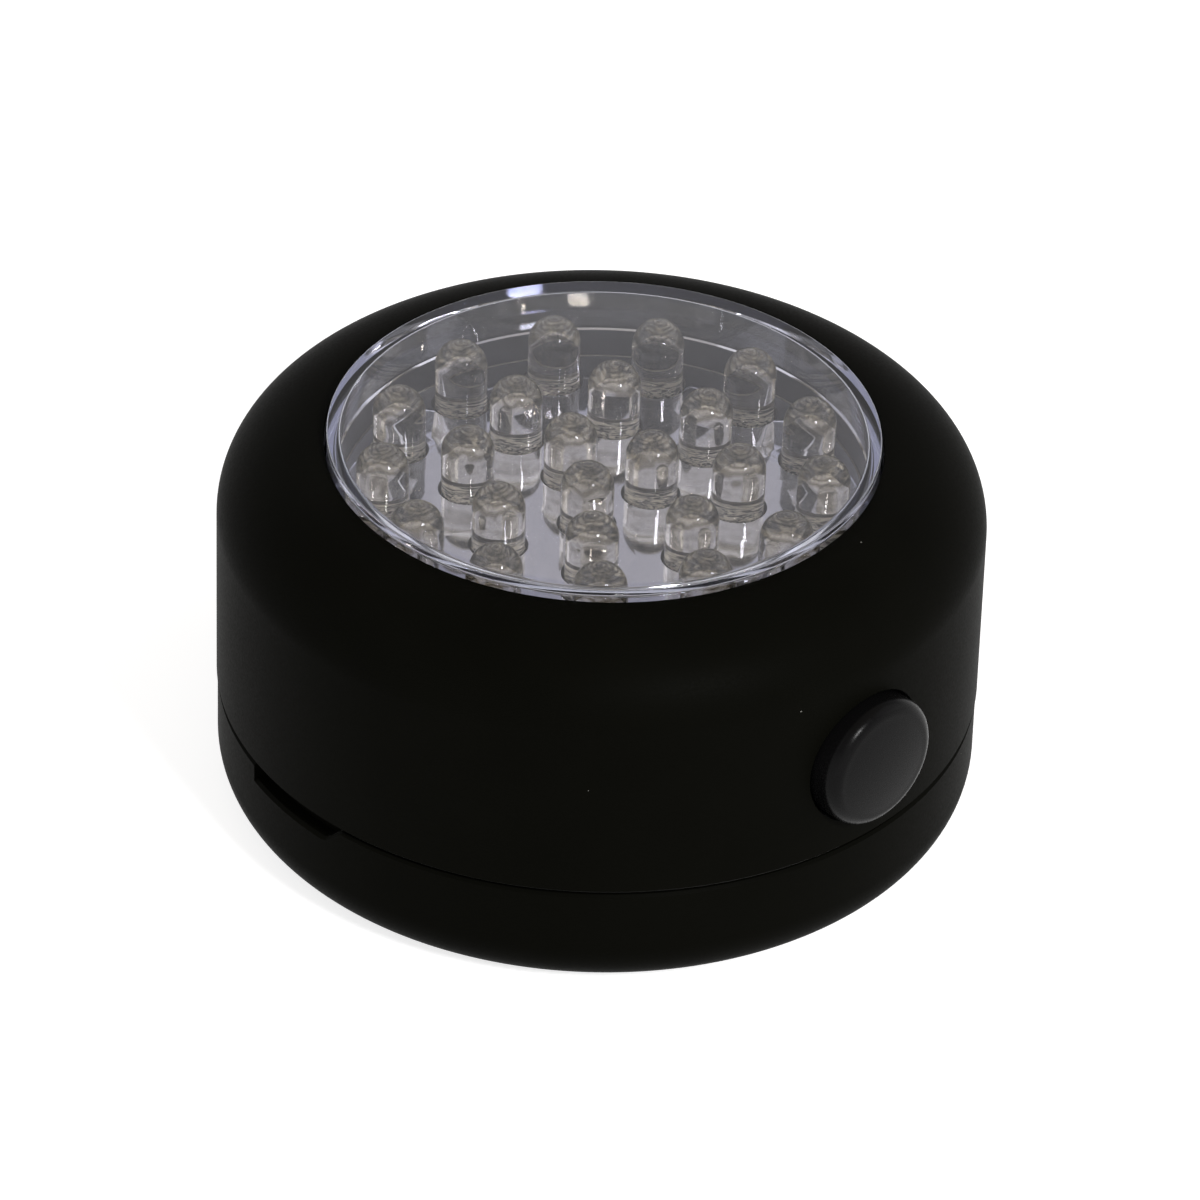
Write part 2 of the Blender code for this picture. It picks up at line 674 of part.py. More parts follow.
def make_resistor(materials):
    """Lacquered resistor lying under the board, its leads bent up towards it."""
    half = RESISTOR_LENGTH / 2
    waist = RESISTOR_RADIUS - RESISTOR_WAIST
    outline = [
        (0.0, -half),
        (waist, -half),
        (RESISTOR_RADIUS, -half + RESISTOR_WAIST),
        (RESISTOR_RADIUS, -half + RESISTOR_CAP),
        (waist, -half + RESISTOR_CAP + RESISTOR_WAIST),
        (waist, half - RESISTOR_CAP - RESISTOR_WAIST),
        (RESISTOR_RADIUS, half - RESISTOR_CAP),
        (RESISTOR_RADIUS, half - RESISTOR_WAIST),
        (waist, half),
        (0.0, half),
    ]
    middle = (MIDDLE_RING_RADIUS + OUTER_RING_RADIUS) / 2
    height = BOARD_UNDER - CLEARANCE - RESISTOR_RADIUS
    resistor = turned("resistor", outline, SMALL_STEPS, materials["resistor"])
    resistor.location = (*polar(middle, RESISTOR_TURN), height)
    resistor.rotation_euler = (math.pi / 2, 0.0, math.radians(RESISTOR_TURN))
    end = RESISTOR_SPAN / 2
    rise = RESISTOR_RADIUS
    route = [
        (0.0, rise, -end),
        (0.0, 0.0, -end),
        (0.0, 0.0, end),
        (0.0, rise, end),
    ]
    lead = tube("resistor_lead_guide", route, RESISTOR_LEAD_RADIUS, smooth=False)
    shape = place("resistor_leads_guide", baked(lead, "resistor_leads", materials["steel"]))
    shape.location = resistor.location
    shape.rotation_euler = resistor.rotation_euler
    combine(resistor, shape, "UNION")
    return resistor


def make_cells(materials, bay):
    """Three cells side by side, the middle one the other way round."""
    body = CELL_LENGTH - CELL_NUB_HEIGHT
    outline = [
        (0.0, 0.0),
        (CELL_RADIUS - CELL_EDGE, 0.0),
        (CELL_RADIUS, CELL_EDGE),
        (CELL_RADIUS, body - CELL_EDGE),
        (CELL_RADIUS - CELL_EDGE, body),
        (CELL_NUB_RADIUS, body),
        (CELL_NUB_RADIUS, CELL_LENGTH),
        (0.0, CELL_LENGTH),
    ]
    for number, (lane, facing) in enumerate(bay_lanes(), start=1):
        cell = turned(f"battery_cell_{number}", outline, PART_STEPS, materials["cell"], bay)
        start = BAY_HALF - CLEARANCE - CELL_LENGTH
        cell.location = (facing * start, lane, CELL_HEIGHT)
        cell.rotation_euler.y = facing * math.pi / 2


def bay_lanes():
    """Each cell's place across the bay, and the end that its positive nub faces."""
    return ((CELL_PITCH, 1), (0.0, -1), (-CELL_PITCH, 1))


def spring_points():
    """Conical coil of round wire, its wide end at the contact plate."""
    count = SPRING_TURNS * SPRING_TURN_POINTS
    run = SPRING_LENGTH - SPRING_WIRE_RADIUS * 2
    points = []
    for index in range(count + 1):
        share = index / count
        radius = SPRING_BASE_RADIUS + (SPRING_TIP_RADIUS - SPRING_BASE_RADIUS) * share
        turn = math.tau * index / SPRING_TURN_POINTS
        height = SPRING_WIRE_RADIUS + run * share
        points.append((radius * math.cos(turn), radius * math.sin(turn), height))
    return points


def least_spring_gap(points):
    """Least gap between neighbouring turns of the coil, measured on its points."""
    gaps = []
    for index, point in enumerate(points):
        for other in points[index + SPRING_TURN_POINTS // 2:]:
            gaps.append(math.dist(point, other) - SPRING_WIRE_RADIUS * 2)
    return min(gaps)


def make_springs(materials, bay):
    """A spring behind the flat end of each cell."""
    points = spring_points()
    print(f"least gap between the turns of a contact spring: {least_spring_gap(points):.6f} m")
    for number, (lane, facing) in enumerate(bay_lanes(), start=1):
        spring = tube(
            f"contact_spring_{number}",
            points,
            SPRING_WIRE_RADIUS,
            materials["steel"],
            bay,
            smooth=False,
        )
        spring.location = (-facing * (BAY_HALF - CLEARANCE), lane, CELL_HEIGHT)
        spring.rotation_euler.y = facing * math.pi / 2


def contact_outline(low, high, with_tail):
    """Plate as (across the bay, height) points, with a solder tail for the pack's two ends."""
    foot = CELL_HEIGHT - CONTACT_HALF
    top = CELL_HEIGHT + CONTACT_HALF
    cut = CONTACT_ROUND
    outline = [(low + cut, foot), (high - cut, foot), (high, foot + cut)]
    outline += [(high, top - cut), (high - cut, top)]
    if with_tail:
        middle = (low + high) / 2
        half = CONTACT_TAIL_WIDTH / 2
        outline += [(middle + half, top), (middle + half, TAIL_TOP)]
        outline += [(middle - half, TAIL_TOP), (middle - half, top)]
    outline += [(low + cut, top), (low, top - cut), (low, foot + cut)]
    return outline


def make_contact(name, low, high, end, with_tail, materials, bay):
    """Thin plate standing at one end of the bay."""
    outline = [(height, across) for across, height in contact_outline(low, high, with_tail)]
    plate = prism(name, outline, 0.0, CONTACT_THICKNESS, materials["steel"], bay)
    plate.rotation_euler.y = -math.pi / 2
    plate.location.x = BAY_HALF + CONTACT_THICKNESS if end > 0 else -BAY_HALF
    return plate


def make_contacts(materials, bay):
    """End plates of the pack and the two bridges that join the cells in a row."""
    half = CONTACT_HALF
    lane = CELL_PITCH
    make_contact("positive_contact", lane - half, lane + half, 1, True, materials, bay)
    make_contact("bridge_contact_1", -half, lane + half, -1, False, materials, bay)
    make_contact("bridge_contact_2", -lane - half, half, 1, False, materials, bay)
    make_contact("negative_contact", -lane - half, -lane + half, -1, True, materials, bay)


def bay_section():
    """Open section of the bay as (height, across): an arch over each cell, low partitions between."""
    foot = TRAY_FOOT - OVERRUN
    partition = CELL_HEIGHT - PARTITION_DROP
    section = [(foot, BAY_SIDE_INNER)]
    for lane, _ in bay_lanes():
        if lane < CELL_PITCH:
            section += [(partition, lane + CELL_PITCH - TROUGH_RADIUS), (partition, lane + TROUGH_RADIUS)]
        arch = arc((CELL_HEIGHT, lane), (TROUGH_RADIUS, TROUGH_RADIUS), 90, -90, ARCH_STEPS)
        section += arch
    section.append((foot, -BAY_SIDE_INNER))
    return section


def cut_bay(tray, bay):
    """Open the bay for the cells, the contact pockets and the slots of the solder tails."""
    foot = TRAY_FOOT - OVERRUN
    opening = prism("bay_cutter", bay_section(), -BAY_HALF, BAY_HALF, parent=bay)
    opening.rotation_euler.y = -math.pi / 2
    combine(tray, opening)
    reach = CONTACT_HALF + CLEARANCE
    ceiling = CELL_HEIGHT + CONTACT_HALF + CLEARANCE
    start = BAY_HALF - EMBED
    pockets = (
        ("positive", 1, CELL_PITCH - reach, CELL_PITCH + reach),
        ("bridge_1", -1, -reach, CELL_PITCH + reach),
        ("bridge_2", 1, -CELL_PITCH - reach, reach),
        ("negative", -1, -CELL_PITCH - reach, -CELL_PITCH + reach),
    )
    for name, end, low, high in pockets:
        across = sorted((end * start, end * POCKET_END))
        pocket = block(f"pocket_{name}_cutter", across, (low, high), (foot, ceiling), parent=bay)
        combine(tray, pocket)
    half = CONTACT_TAIL_WIDTH / 2 + CLEARANCE
    inner = BAY_HALF - CLEARANCE
    for name, end in (("positive", 1), ("negative", -1)):
        lane = end * CELL_PITCH
        across = sorted((end * inner, end * POCKET_END))
        up = (ceiling - EMBED, TRAY_TOP + OVERRUN)
        slot = block(f"tail_slot_{name}_cutter", across, (lane - half, lane + half), up, parent=bay)
        combine(tray, slot)


def add_cradle(tray, bay):
    """Shelf and upright cradle with front lips, which hold the switch behind the button."""
    back = BAY_SIDE - EMBED
    shelf = block(
        "cradle_shelf_guide",
        (-CRADLE_OUTER - EMBED, CRADLE_OUTER + EMBED),
        (back, LIP_FRONT),
        (SHELF_UNDER, SHELF_TOP),
        parent=bay,
    )
    combine(tray, shelf, "UNION")
    front = LIP_FRONT - EMBED
    lip_back = LIP_FRONT - CRADLE_LIP
    lip_inner = CRADLE_INNER - CRADLE_LIP_REACH
    stop = SWITCH_BACK - CLEARANCE
    right = [
        (CRADLE_OUTER, back),
        (CRADLE_OUTER, front),
        (lip_inner, front),
        (lip_inner, lip_back),
        (CRADLE_INNER, lip_back),
        (CRADLE_INNER, stop),
    ]
    outline = right + [(-across, along) for across, along in reversed(right)]
    cradle = prism("cradle_guide", outline, SHELF_TOP - EMBED, TRAY_TOP - EMBED, parent=bay)
    combine(tray, cradle, "UNION")


def make_tray(materials, bay):
    """Battery tray: a round deck over the cells, their troughs, board posts and switch cradle."""
    tray = block(
        "battery_tray",
        (-BAY_END, BAY_END),
        (-BAY_SIDE, BAY_SIDE),
        (TRAY_FOOT, TRAY_TOP - EMBED),
        materials["tray"],
        bay,
    )
    trim_radius = SPIGOT_INNER - CLEARANCE
    trim_foot = TRAY_FOOT - OVERRUN
    trim = rod("tray_trim_guide", trim_radius, trim_foot, TRAY_TOP + OVERRUN, DISC_STEPS, parent=bay)
    combine(tray, trim, "INTERSECT")
    deck = rod("tray_deck_guide", TRAY_RADIUS, TRAY_UNDER, TRAY_TOP, DISC_STEPS, parent=bay)
    gap = BUTTON_FLANGE + CLEARANCE
    window = block(
        "switch_window_cutter",
        (-gap, gap),
        (BAY_SIDE + EMBED, BODY_RADIUS),
        (TRAY_UNDER - OVERRUN, TRAY_TOP + OVERRUN),
        parent=bay,
    )
    combine(deck, window)
    combine(tray, deck, "UNION")
    cut_bay(tray, bay)
    add_cradle(tray, bay)
    for number, turn in enumerate(POST_TURNS, start=1):
        low = TRAY_TOP - EMBED
        post = rod(f"post_{number}_guide", POST_RADIUS, low, BOARD_UNDER - CLEARANCE, parent=bay)
        post.location = (*polar(STACK_RADIUS - POST_INSET, turn + 90), 0.0)
        combine(tray, post, "UNION")
    for number, turn in enumerate(BOSS_TURNS, start=1):
        up = (TRAY_UNDER - OVERRUN, TRAY_TOP + OVERRUN)
        hole = rod(f"tray_hole_{number}_cutter", PILOT_RADIUS, up[0], up[1], parent=bay)
        hole.location = (*boss_place(turn), 0.0)
        combine(tray, hole)
    return tray


def screw_outline(length, head_radius, head_height):
    """Pan head below zero and shank above it, with a blunt tip."""
    crown = head_height / 3
    return [
        (0.0, -head_height),
        (head_radius - crown, -head_height),
        (head_radius, -head_height + crown),
        (head_radius, 0.0),
        (SCREW_SHANK_RADIUS, 0.0),
        (SCREW_SHANK_RADIUS, length - SCREW_SHANK_RADIUS),
        (0.0, length),
    ]


def make_tray_screws(materials, bay):
    """Screws that hold the tray up against the housing's bosses."""
    outline = screw_outline(TRAY_SCREW_LENGTH, SCREW_HEAD_RADIUS, SCREW_HEAD_HEIGHT)
    for number, turn in enumerate(BOSS_TURNS, start=1):
        screw = turned(f"tray_screw_{number}", outline, SMALL_STEPS, materials["steel"], bay)
        screw.location = (*boss_place(turn), TRAY_UNDER - CLEARANCE)


def make_switch(materials, bay):
    """Latching push switch: a square body with a bore and two side terminals."""
    body = block(
        "switch_body",
        (-SWITCH_HALF, SWITCH_HALF),
        (SWITCH_BACK, SWITCH_FRONT),
        (BUTTON_HEIGHT - SWITCH_HALF, BUTTON_HEIGHT + SWITCH_HALF),
        materials["switch"],
        bay,
    )
    depth = PLUNGER_BACK - BUTTON_TRAVEL - CLEARANCE
    mouth = SWITCH_FRONT + OVERRUN
    bore = rod("plunger_bore_cutter", PLUNGER_RADIUS + CLEARANCE, depth, mouth, parent=bay)
    bore.location.z = BUTTON_HEIGHT
    bore.rotation_euler.x = -math.pi / 2
    combine(body, bore)
    half = TERMINAL_WIDTH / 2
    for side, name in ((-1, "left"), (1, "right")):
        across = sorted((side * (SWITCH_HALF - EMBED), side * (SWITCH_HALF + TERMINAL_REACH)))
        terminal = block(
            f"terminal_{name}_guide",
            across,
            (TERMINAL_PLACE - half, TERMINAL_PLACE + half),
            (WIRE_HEIGHT - TERMINAL_HALF, WIRE_HEIGHT + TERMINAL_HALF),
            parent=bay,
        )
        combine(body, terminal, "UNION")
    return body


def make_button(materials, bay):
    """Domed push button, a cup with a retaining flange behind the wall and a stem to the plunger."""
    edge = BUTTON_FACE - BUTTON_CROWN
    shoulder = edge - BUTTON_EDGE_ROUND
    corner = BUTTON_RADIUS - BUTTON_EDGE_ROUND
    inside = BUTTON_RADIUS - BUTTON_WALL
    roof = shoulder - BUTTON_WALL
    outline = [(0.0, BUTTON_FACE)]
    outline += [(corner / 2, BUTTON_FACE - BUTTON_CROWN / 4)]
    outline += arc((corner, shoulder), (BUTTON_EDGE_ROUND, BUTTON_EDGE_ROUND), 90, 0, BUTTON_EDGE_STEPS)
    outline += [
        (BUTTON_RADIUS, FLANGE_FRONT),
        (BUTTON_FLANGE, FLANGE_FRONT),
        (BUTTON_FLANGE, FLANGE_BACK),
        (inside, FLANGE_BACK),
        (inside, roof),
        (BUTTON_STEM_RADIUS, roof),
        (BUTTON_STEM_RADIUS, FLANGE_BACK),
        (0.0, FLANGE_BACK),
    ]
    button = turned("push_button", outline, PART_STEPS, materials["satin_black"], bay)
    button.location.z = BUTTON_HEIGHT
    button.rotation_euler.x = -math.pi / 2
    ends = (PLUNGER_BACK, PLUNGER_TIP)
    plunger = rod("switch_plunger", PLUNGER_RADIUS, *ends, SMALL_STEPS, materials["plunger"], bay)
    plunger.location.z = BUTTON_HEIGHT
    plunger.rotation_euler.x = -math.pi / 2


def make_wires(materials, bay):
    """Wires from the pack's ends to the board and the switch, and from the switch to the board."""
    board_height = BOARD_UNDER - CLEARANCE
    start = BAY_HALF - CLEARANCE - WIRE_RADIUS
    positive = [
        (start, CELL_PITCH, WIRE_HEIGHT),
        (start - WIRE_RUN / 2, CELL_PITCH, WIRE_HEIGHT),
        (start - WIRE_RUN, CELL_PITCH, board_height),
    ]
    tube("wire_positive", positive, WIRE_RADIUS, materials["red"], bay)
    terminal = SWITCH_HALF + TERMINAL_REACH + CLEARANCE
    lane_start = math.degrees(math.atan2(-CELL_PITCH, -start)) + 360
    lane_end = math.degrees(math.atan2(TERMINAL_PLACE, -terminal - WIRE_RUN))
    negative = [(-start, -CELL_PITCH, WIRE_HEIGHT)]
    for step in range(1, WIRE_STEPS):
        turn = lane_start + (lane_end - lane_start) * step / WIRE_STEPS
        negative.append((*polar(WIRE_LANE_RADIUS, turn), WIRE_HEIGHT))
    negative.append((-terminal - WIRE_RUN, TERMINAL_PLACE, WIRE_HEIGHT))
    negative.append((-terminal, TERMINAL_PLACE, WIRE_HEIGHT))
    tube("wire_negative", negative, WIRE_RADIUS, materials["black"], bay)
    switched = [
        (terminal, TERMINAL_PLACE, WIRE_HEIGHT),
        (terminal + WIRE_RUN / 2, TERMINAL_PLACE, WIRE_HEIGHT),
        (terminal + WIRE_RUN, TERMINAL_PLACE, board_height),
    ]
    tube("wire_switch", switched, WIRE_RADIUS, materials["red"], bay)


def make_rear_cover(materials, bay):
    """Rear cover: rounded foot, turntable recess, spigot with its snap bead, notch and cell ribs."""
    inner_wall = COVER_RADIUS - COVER_WALL
    inner_fillet = COVER_FILLET - COVER_WALL
    land = COVER_RADIUS - COVER_FILLET
    bead = SPIGOT_RADIUS + BEAD_DEPTH
    outline = [
        (HUB_RADIUS + CLEARANCE, RECESS_DEPTH),
        (RECESS_RADIUS, RECESS_DEPTH),
        (RECESS_RADIUS, EDGE_CHAMFER),
        (RECESS_RADIUS + EDGE_CHAMFER, 0.0),
    ]
    outline += arc((land, COVER_FILLET), (COVER_FILLET, COVER_FILLET), -90, 0, FILLET_STEPS)
    outline += [
        (COVER_RADIUS, COVER_TOP - EDGE_CHAMFER),
        (COVER_RADIUS - EDGE_CHAMFER, COVER_TOP),
        (SPIGOT_RADIUS, COVER_TOP),
        (SPIGOT_RADIUS, BEAD_CENTRE - BEAD_HEIGHT),
        (bead, BEAD_CENTRE),
        (SPIGOT_RADIUS, BEAD_CENTRE + BEAD_HEIGHT),
        (SPIGOT_RADIUS, COVER_TOP + COVER_SPIGOT_RISE),
        (SPIGOT_INNER, COVER_TOP + COVER_SPIGOT_RISE),
        (SPIGOT_INNER, COVER_TOP - COVER_SPIGOT_ROOT),
        (inner_wall, COVER_TOP - COVER_SPIGOT_ROOT - COVER_SPIGOT_WALL),
    ]
    outline += arc((land, COVER_FILLET), (inner_fillet, inner_fillet), 0, -90, INNER_FILLET_STEPS)
    outline += [
        (RECESS_RADIUS + RECESS_WALL, COVER_WALL),
        (RECESS_RADIUS + RECESS_WALL, DECK_TOP),
        (HUB_RADIUS + CLEARANCE, DECK_TOP),
    ]
    cover = turned("rear_cover", outline, ROUND_STEPS, materials["soft_black"])
    combine(cover, notch_cutter())
    cuts = (
        ("key_slot_cutter", KEY_WIDTH / 2 + CLEARANCE, NOTCH_TURN + 180),
        ("button_relief_cutter", BUTTON_FLANGE + CLEARANCE, BUTTON_TURN),
    )
    for name, half, turn in cuts:
        up = (COVER_TOP, COVER_TOP + COVER_SPIGOT_RISE + OVERRUN)
        cut = block(name, (SPIGOT_INNER - OVERRUN, INNER_RADIUS), (-half, half), up)
        cut.rotation_euler.z = math.radians(turn)
        combine(cover, cut)
    for side, name in ((-1, "left"), (1, "right")):
        middle = side * RIB_PLACE
        across = (middle - RIB_THICKNESS / 2, middle + RIB_THICKNESS / 2)
        up = (DECK_TOP - EMBED, CELL_UNDER - CLEARANCE)
        rib = block(f"cell_rib_{name}_guide", across, (-RIB_REACH, RIB_REACH), up, parent=bay)
        combine(cover, rib, "UNION")
    return cover


def notch_cutter():
    """Curved cutter of the pry notch, with a chamfer along its lower outer edge."""
    inner = COVER_RADIUS - NOTCH_DEPTH
    outer = BODY_RADIUS + OVERRUN
    floor = COVER_TOP - NOTCH_DROP
    section = bmesh.new()
    outline = [
        (inner, COVER_TOP + OVERRUN),
        (inner, floor),
        (COVER_RADIUS - NOTCH_CHAMFER, floor),
        (outer, floor - NOTCH_CHAMFER - OVERRUN),
        (outer, COVER_TOP + OVERRUN),
    ]
    span = NOTCH_LENGTH / COVER_RADIUS
    start = math.radians(NOTCH_TURN) - span / 2
    verts = []
    for radius, height in outline:
        verts.append(section.verts.new((radius * math.cos(start), radius * math.sin(start), height)))
    face = section.faces.new(verts)
    bmesh.ops.spin(
        section,
        geom=[face],
        cent=(0.0, 0.0, 0.0),
        axis=(0.0, 0.0, 1.0),
        angle=span,
        steps=NOTCH_STEPS,
    )
    return finish("notch_cutter", section)


def make_turntable(materials, swivel):
    """Swivelling dish: rim, magnet cup, hub through the cover, hinge ears and hook stop."""
    outline = [
        (0.0, PLATE_UNDER),
        (CUP_INNER, PLATE_UNDER),
        (CUP_INNER, TABLE_FACE_INSET),
        (CUP_RADIUS, TABLE_FACE_INSET),
        (CUP_RADIUS, PLATE_UNDER),
        (TABLE_RIM_INNER, PLATE_UNDER),
        (TABLE_RIM_INNER, TABLE_FACE_INSET),
        (TABLE_RADIUS, TABLE_FACE_INSET),
        (TABLE_RADIUS, PLATE_TOP),
        (HUB_RADIUS, PLATE_TOP),
        (HUB_RADIUS, HUB_TOP),
        (PILOT_RADIUS, HUB_TOP),
        (PILOT_RADIUS, PLATE_UNDER + HUB_FLOOR),
        (0.0, PLATE_UNDER + HUB_FLOOR),
    ]
    table = turned("hook_turntable", outline, DISC_STEPS, materials["satin_black"], swivel)
    up = (TABLE_FACE_INSET, PLATE_UNDER + EMBED)
    along = (-HINGE_OFFSET - EAR_LENGTH / 2, -HINGE_OFFSET + EAR_LENGTH / 2)
    for side, name in ((-1, "left"), (1, "right")):
        across = sorted((side * EAR_INNER, side * EAR_OUTER))
        ear = block(f"ear_{name}_guide", across, along, up, parent=swivel)
        combine(table, ear, "UNION")
    stop_face = HINGE_OFFSET + KNUCKLE_RADIUS + CLEARANCE
    stop_along = (-TABLE_RIM_INNER - EMBED, -stop_face)
    stop = block("hook_stop_guide", (-EAR_OUTER, EAR_OUTER), stop_along, up, parent=swivel)
    combine(table, stop, "UNION")
    bore = rod("ear_bore_cutter", BORE_RADIUS, -TABLE_RADIUS / 2, TABLE_RADIUS / 2, parent=swivel)
    bore.location = (0.0, -HINGE_OFFSET, HINGE_HEIGHT)
    bore.rotation_euler.y = math.pi / 2
    combine(table, bore)
    return table


def make_magnet(materials, swivel):
    """Disc magnet, flush with the back face."""
    chamfer = MAGNET_CHAMFER
    outline = [
        (0.0, 0.0),
        (MAGNET_RADIUS - chamfer, 0.0),
        (MAGNET_RADIUS, chamfer),
        (MAGNET_RADIUS, MAGNET_TOP),
        (0.0, MAGNET_TOP),
    ]
    return turned("magnet", outline, PART_STEPS, materials["magnet"], swivel)


def make_turntable_fixings(materials, swivel):
    """Screw and washer that hold the turntable in the cover."""
    outline = [
        (PILOT_RADIUS, WASHER_UNDER),
        (WASHER_RADIUS, WASHER_UNDER),
        (WASHER_RADIUS, WASHER_UNDER + WASHER_THICKNESS),
        (PILOT_RADIUS, WASHER_UNDER + WASHER_THICKNESS),
    ]
    turned("turntable_washer", outline, PART_STEPS, materials["steel"], swivel)
    outline = screw_outline(TABLE_SCREW_LENGTH, SCREW_HEAD_RADIUS, TABLE_HEAD_HEIGHT)
    screw = turned("turntable_screw", outline, SMALL_STEPS, materials["steel"], swivel)
    screw.location.z = TABLE_HEAD_UNDER
    screw.rotation_euler.x = math.pi


def hook_outline():
    """Open C around the magnet with round ends, as points about the hinge axis."""
    middle = (HOOK_INNER + HOOK_OUTER) / 2
    half = HOOK_WIDTH / 2
    outline = arc((0.0, 0.0), (HOOK_OUTER, HOOK_OUTER), HOOK_START, HOOK_END, HOOK_STEPS)
    tip = polar(middle, HOOK_END)
    outline += arc(tip, (half, half), HOOK_END, HOOK_END + 180, HOOK_TIP_STEPS)[1:-1]
    outline += arc((0.0, 0.0), (HOOK_INNER, HOOK_INNER), HOOK_END, HOOK_START, HOOK_STEPS)
    root = polar(middle, HOOK_START)
    outline += arc(root, (half, half), HOOK_START + 180, HOOK_START + 360, HOOK_TIP_STEPS)[1:-1]
    return [(x, y + HINGE_OFFSET) for x, y in outline]


def make_hook(materials, swivel):
    """Folding hook: a rounded C on a knuckle that turns on the pin."""
    low = KNUCKLE_RADIUS - HOOK_THICKNESS
    hook = prism("hanging_hook", hook_outline(), low, KNUCKLE_RADIUS, materials["satin_black"], swivel)
    hook.location = (0.0, -HINGE_OFFSET, HINGE_HEIGHT)
    bevel(hook, HOOK_ROUND, HOOK_ROUND_LIMIT)
    reach = HINGE_OFFSET - HOOK_INNER - HOOK_WIDTH / 2
    narrow = HOOK_WIDTH / 2
    outline = [
        (-KNUCKLE_HALF, 0.0),
        (KNUCKLE_HALF, 0.0),
        (KNUCKLE_HALF, KNUCKLE_RADIUS),
        (narrow, reach),
        (-narrow, reach),
        (-KNUCKLE_HALF, KNUCKLE_RADIUS),
    ]
    shank = prism("hook_shank_guide", outline, low, KNUCKLE_RADIUS, parent=hook)
    combine(hook, shank, "UNION")
    ends = (-KNUCKLE_HALF, KNUCKLE_HALF)
    knuckle = rod("hook_knuckle_guide", KNUCKLE_RADIUS, *ends, PART_STEPS, parent=hook)
    knuckle.rotation_euler.y = math.pi / 2
    combine(hook, knuckle, "UNION")
    reach = KNUCKLE_HALF + OVERRUN
    bore = rod("hook_bore_cutter", BORE_RADIUS, -reach, reach, parent=hook)
    bore.rotation_euler.y = math.pi / 2
    combine(hook, bore)
    half = EAR_OUTER + PIN_END
    pin = rod("hook_pin", PIN_RADIUS, -half, half, SMALL_STEPS, materials["steel"], swivel)
    pin.location = (0.0, -HINGE_OFFSET, HINGE_HEIGHT)
    pin.rotation_euler.y = math.pi / 2


def main():
    """Clear the scene and build every piece."""
    for obj in list(bpy.data.objects):
        bpy.data.objects.remove(obj)
    materials = make_materials()
    bay, swivel = make_frames()
    make_front_housing(materials, bay)
    make_lens(materials)
    make_reflector(materials)
    make_leds(materials)
    make_board(materials)
    make_resistor(materials)
    make_tray(materials, bay)
    make_cells(materials, bay)
    make_springs(materials, bay)
    make_contacts(materials, bay)
    make_switch(materials, bay)
    make_button(materials, bay)
    make_wires(materials, bay)
    make_tray_screws(materials, bay)
    make_rear_cover(materials, bay)
    make_turntable(materials, swivel)
    make_magnet(materials, swivel)
    make_turntable_fixings(materials, swivel)
    make_hook(materials, swivel)


main()
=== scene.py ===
# %% [markdown]
# # A round magnetic work light
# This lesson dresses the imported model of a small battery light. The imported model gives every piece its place
# and size, so each visible piece is built again with finer edges and a finish that follows the real
# material. Sizes are in millimetres, as the makers of such a light would measure it. Where a piece has to
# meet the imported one, its size is read from the frame.

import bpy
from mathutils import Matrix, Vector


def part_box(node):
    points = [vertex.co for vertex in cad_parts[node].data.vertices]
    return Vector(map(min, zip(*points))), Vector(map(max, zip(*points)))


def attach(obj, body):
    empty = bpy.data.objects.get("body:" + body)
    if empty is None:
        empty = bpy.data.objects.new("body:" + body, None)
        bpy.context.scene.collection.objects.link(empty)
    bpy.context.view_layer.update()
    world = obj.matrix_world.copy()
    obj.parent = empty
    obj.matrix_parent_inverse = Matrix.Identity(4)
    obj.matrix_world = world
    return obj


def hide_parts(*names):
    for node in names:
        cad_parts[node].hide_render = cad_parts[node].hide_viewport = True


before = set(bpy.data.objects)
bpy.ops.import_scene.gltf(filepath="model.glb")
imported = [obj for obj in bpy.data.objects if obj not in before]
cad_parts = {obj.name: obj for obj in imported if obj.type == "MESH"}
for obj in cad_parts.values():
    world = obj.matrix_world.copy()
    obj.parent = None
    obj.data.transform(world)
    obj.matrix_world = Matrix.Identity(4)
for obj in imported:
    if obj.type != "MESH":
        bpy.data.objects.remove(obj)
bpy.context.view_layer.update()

# %% Modules and the unit
import math

import bmesh
import bpy
from mathutils import Matrix, Vector

MM = 0.001
scene = bpy.context.scene
scene.view_settings.view_transform = "Standard"
print("one millimetre is", MM, "Blender units, shown by the", scene.view_settings.view_transform, "view")

# %% [markdown]
# Light turns many times inside the clear lens and the clear lamps before it comes out. With the usual four
# mirror turns the skirt of the lens would go black, so the paths are longer here. The domes show the small
# studio light as sharp bright dots, so its light isn't cut short as early as usual either.

# %% Long light paths
LIGHT_TURNS = 48
BRIGHTEST_ECHO = 30.0
scene.cycles.max_bounces = scene.cycles.transmission_bounces = scene.cycles.glossy_bounces = LIGHT_TURNS
scene.cycles.sample_clamp_indirect = BRIGHTEST_ECHO
print("light may turn", LIGHT_TURNS, "times")

# %% [markdown]
# ## Colours and nodes
# A colour is written as the hex value that a screen shows, but Blender mixes light, so each channel is
# turned to linear light first. One function adds a node, sets its properties and fills or links its inputs.
# So a material reads like a recipe, and its last line closes it with one shader.

# %% Colour and node helpers
def linear(code):
    """Linear colour of a screen colour such as "#808080"."""
    shares = [int(code[start:start + 2], 16) / 255 for start in (1, 3, 5)]
    light = [share / 12.92 if share <= 0.04045 else ((share + 0.055) / 1.055) ** 2.4 for share in shares]
    return (*light, 1.0)


def add_node(tree, kind, inputs=None, **settings):
    """Add one node, set its properties, and fill its inputs with values or links."""
    node = tree.nodes.new(kind)
    for name, value in settings.items():
        setattr(node, name, value)
    for name, value in (inputs or {}).items():
        if isinstance(value, bpy.types.NodeSocket):
            tree.links.new(value, node.inputs[name])
        else:
            node.inputs[name].default_value = value
    return node


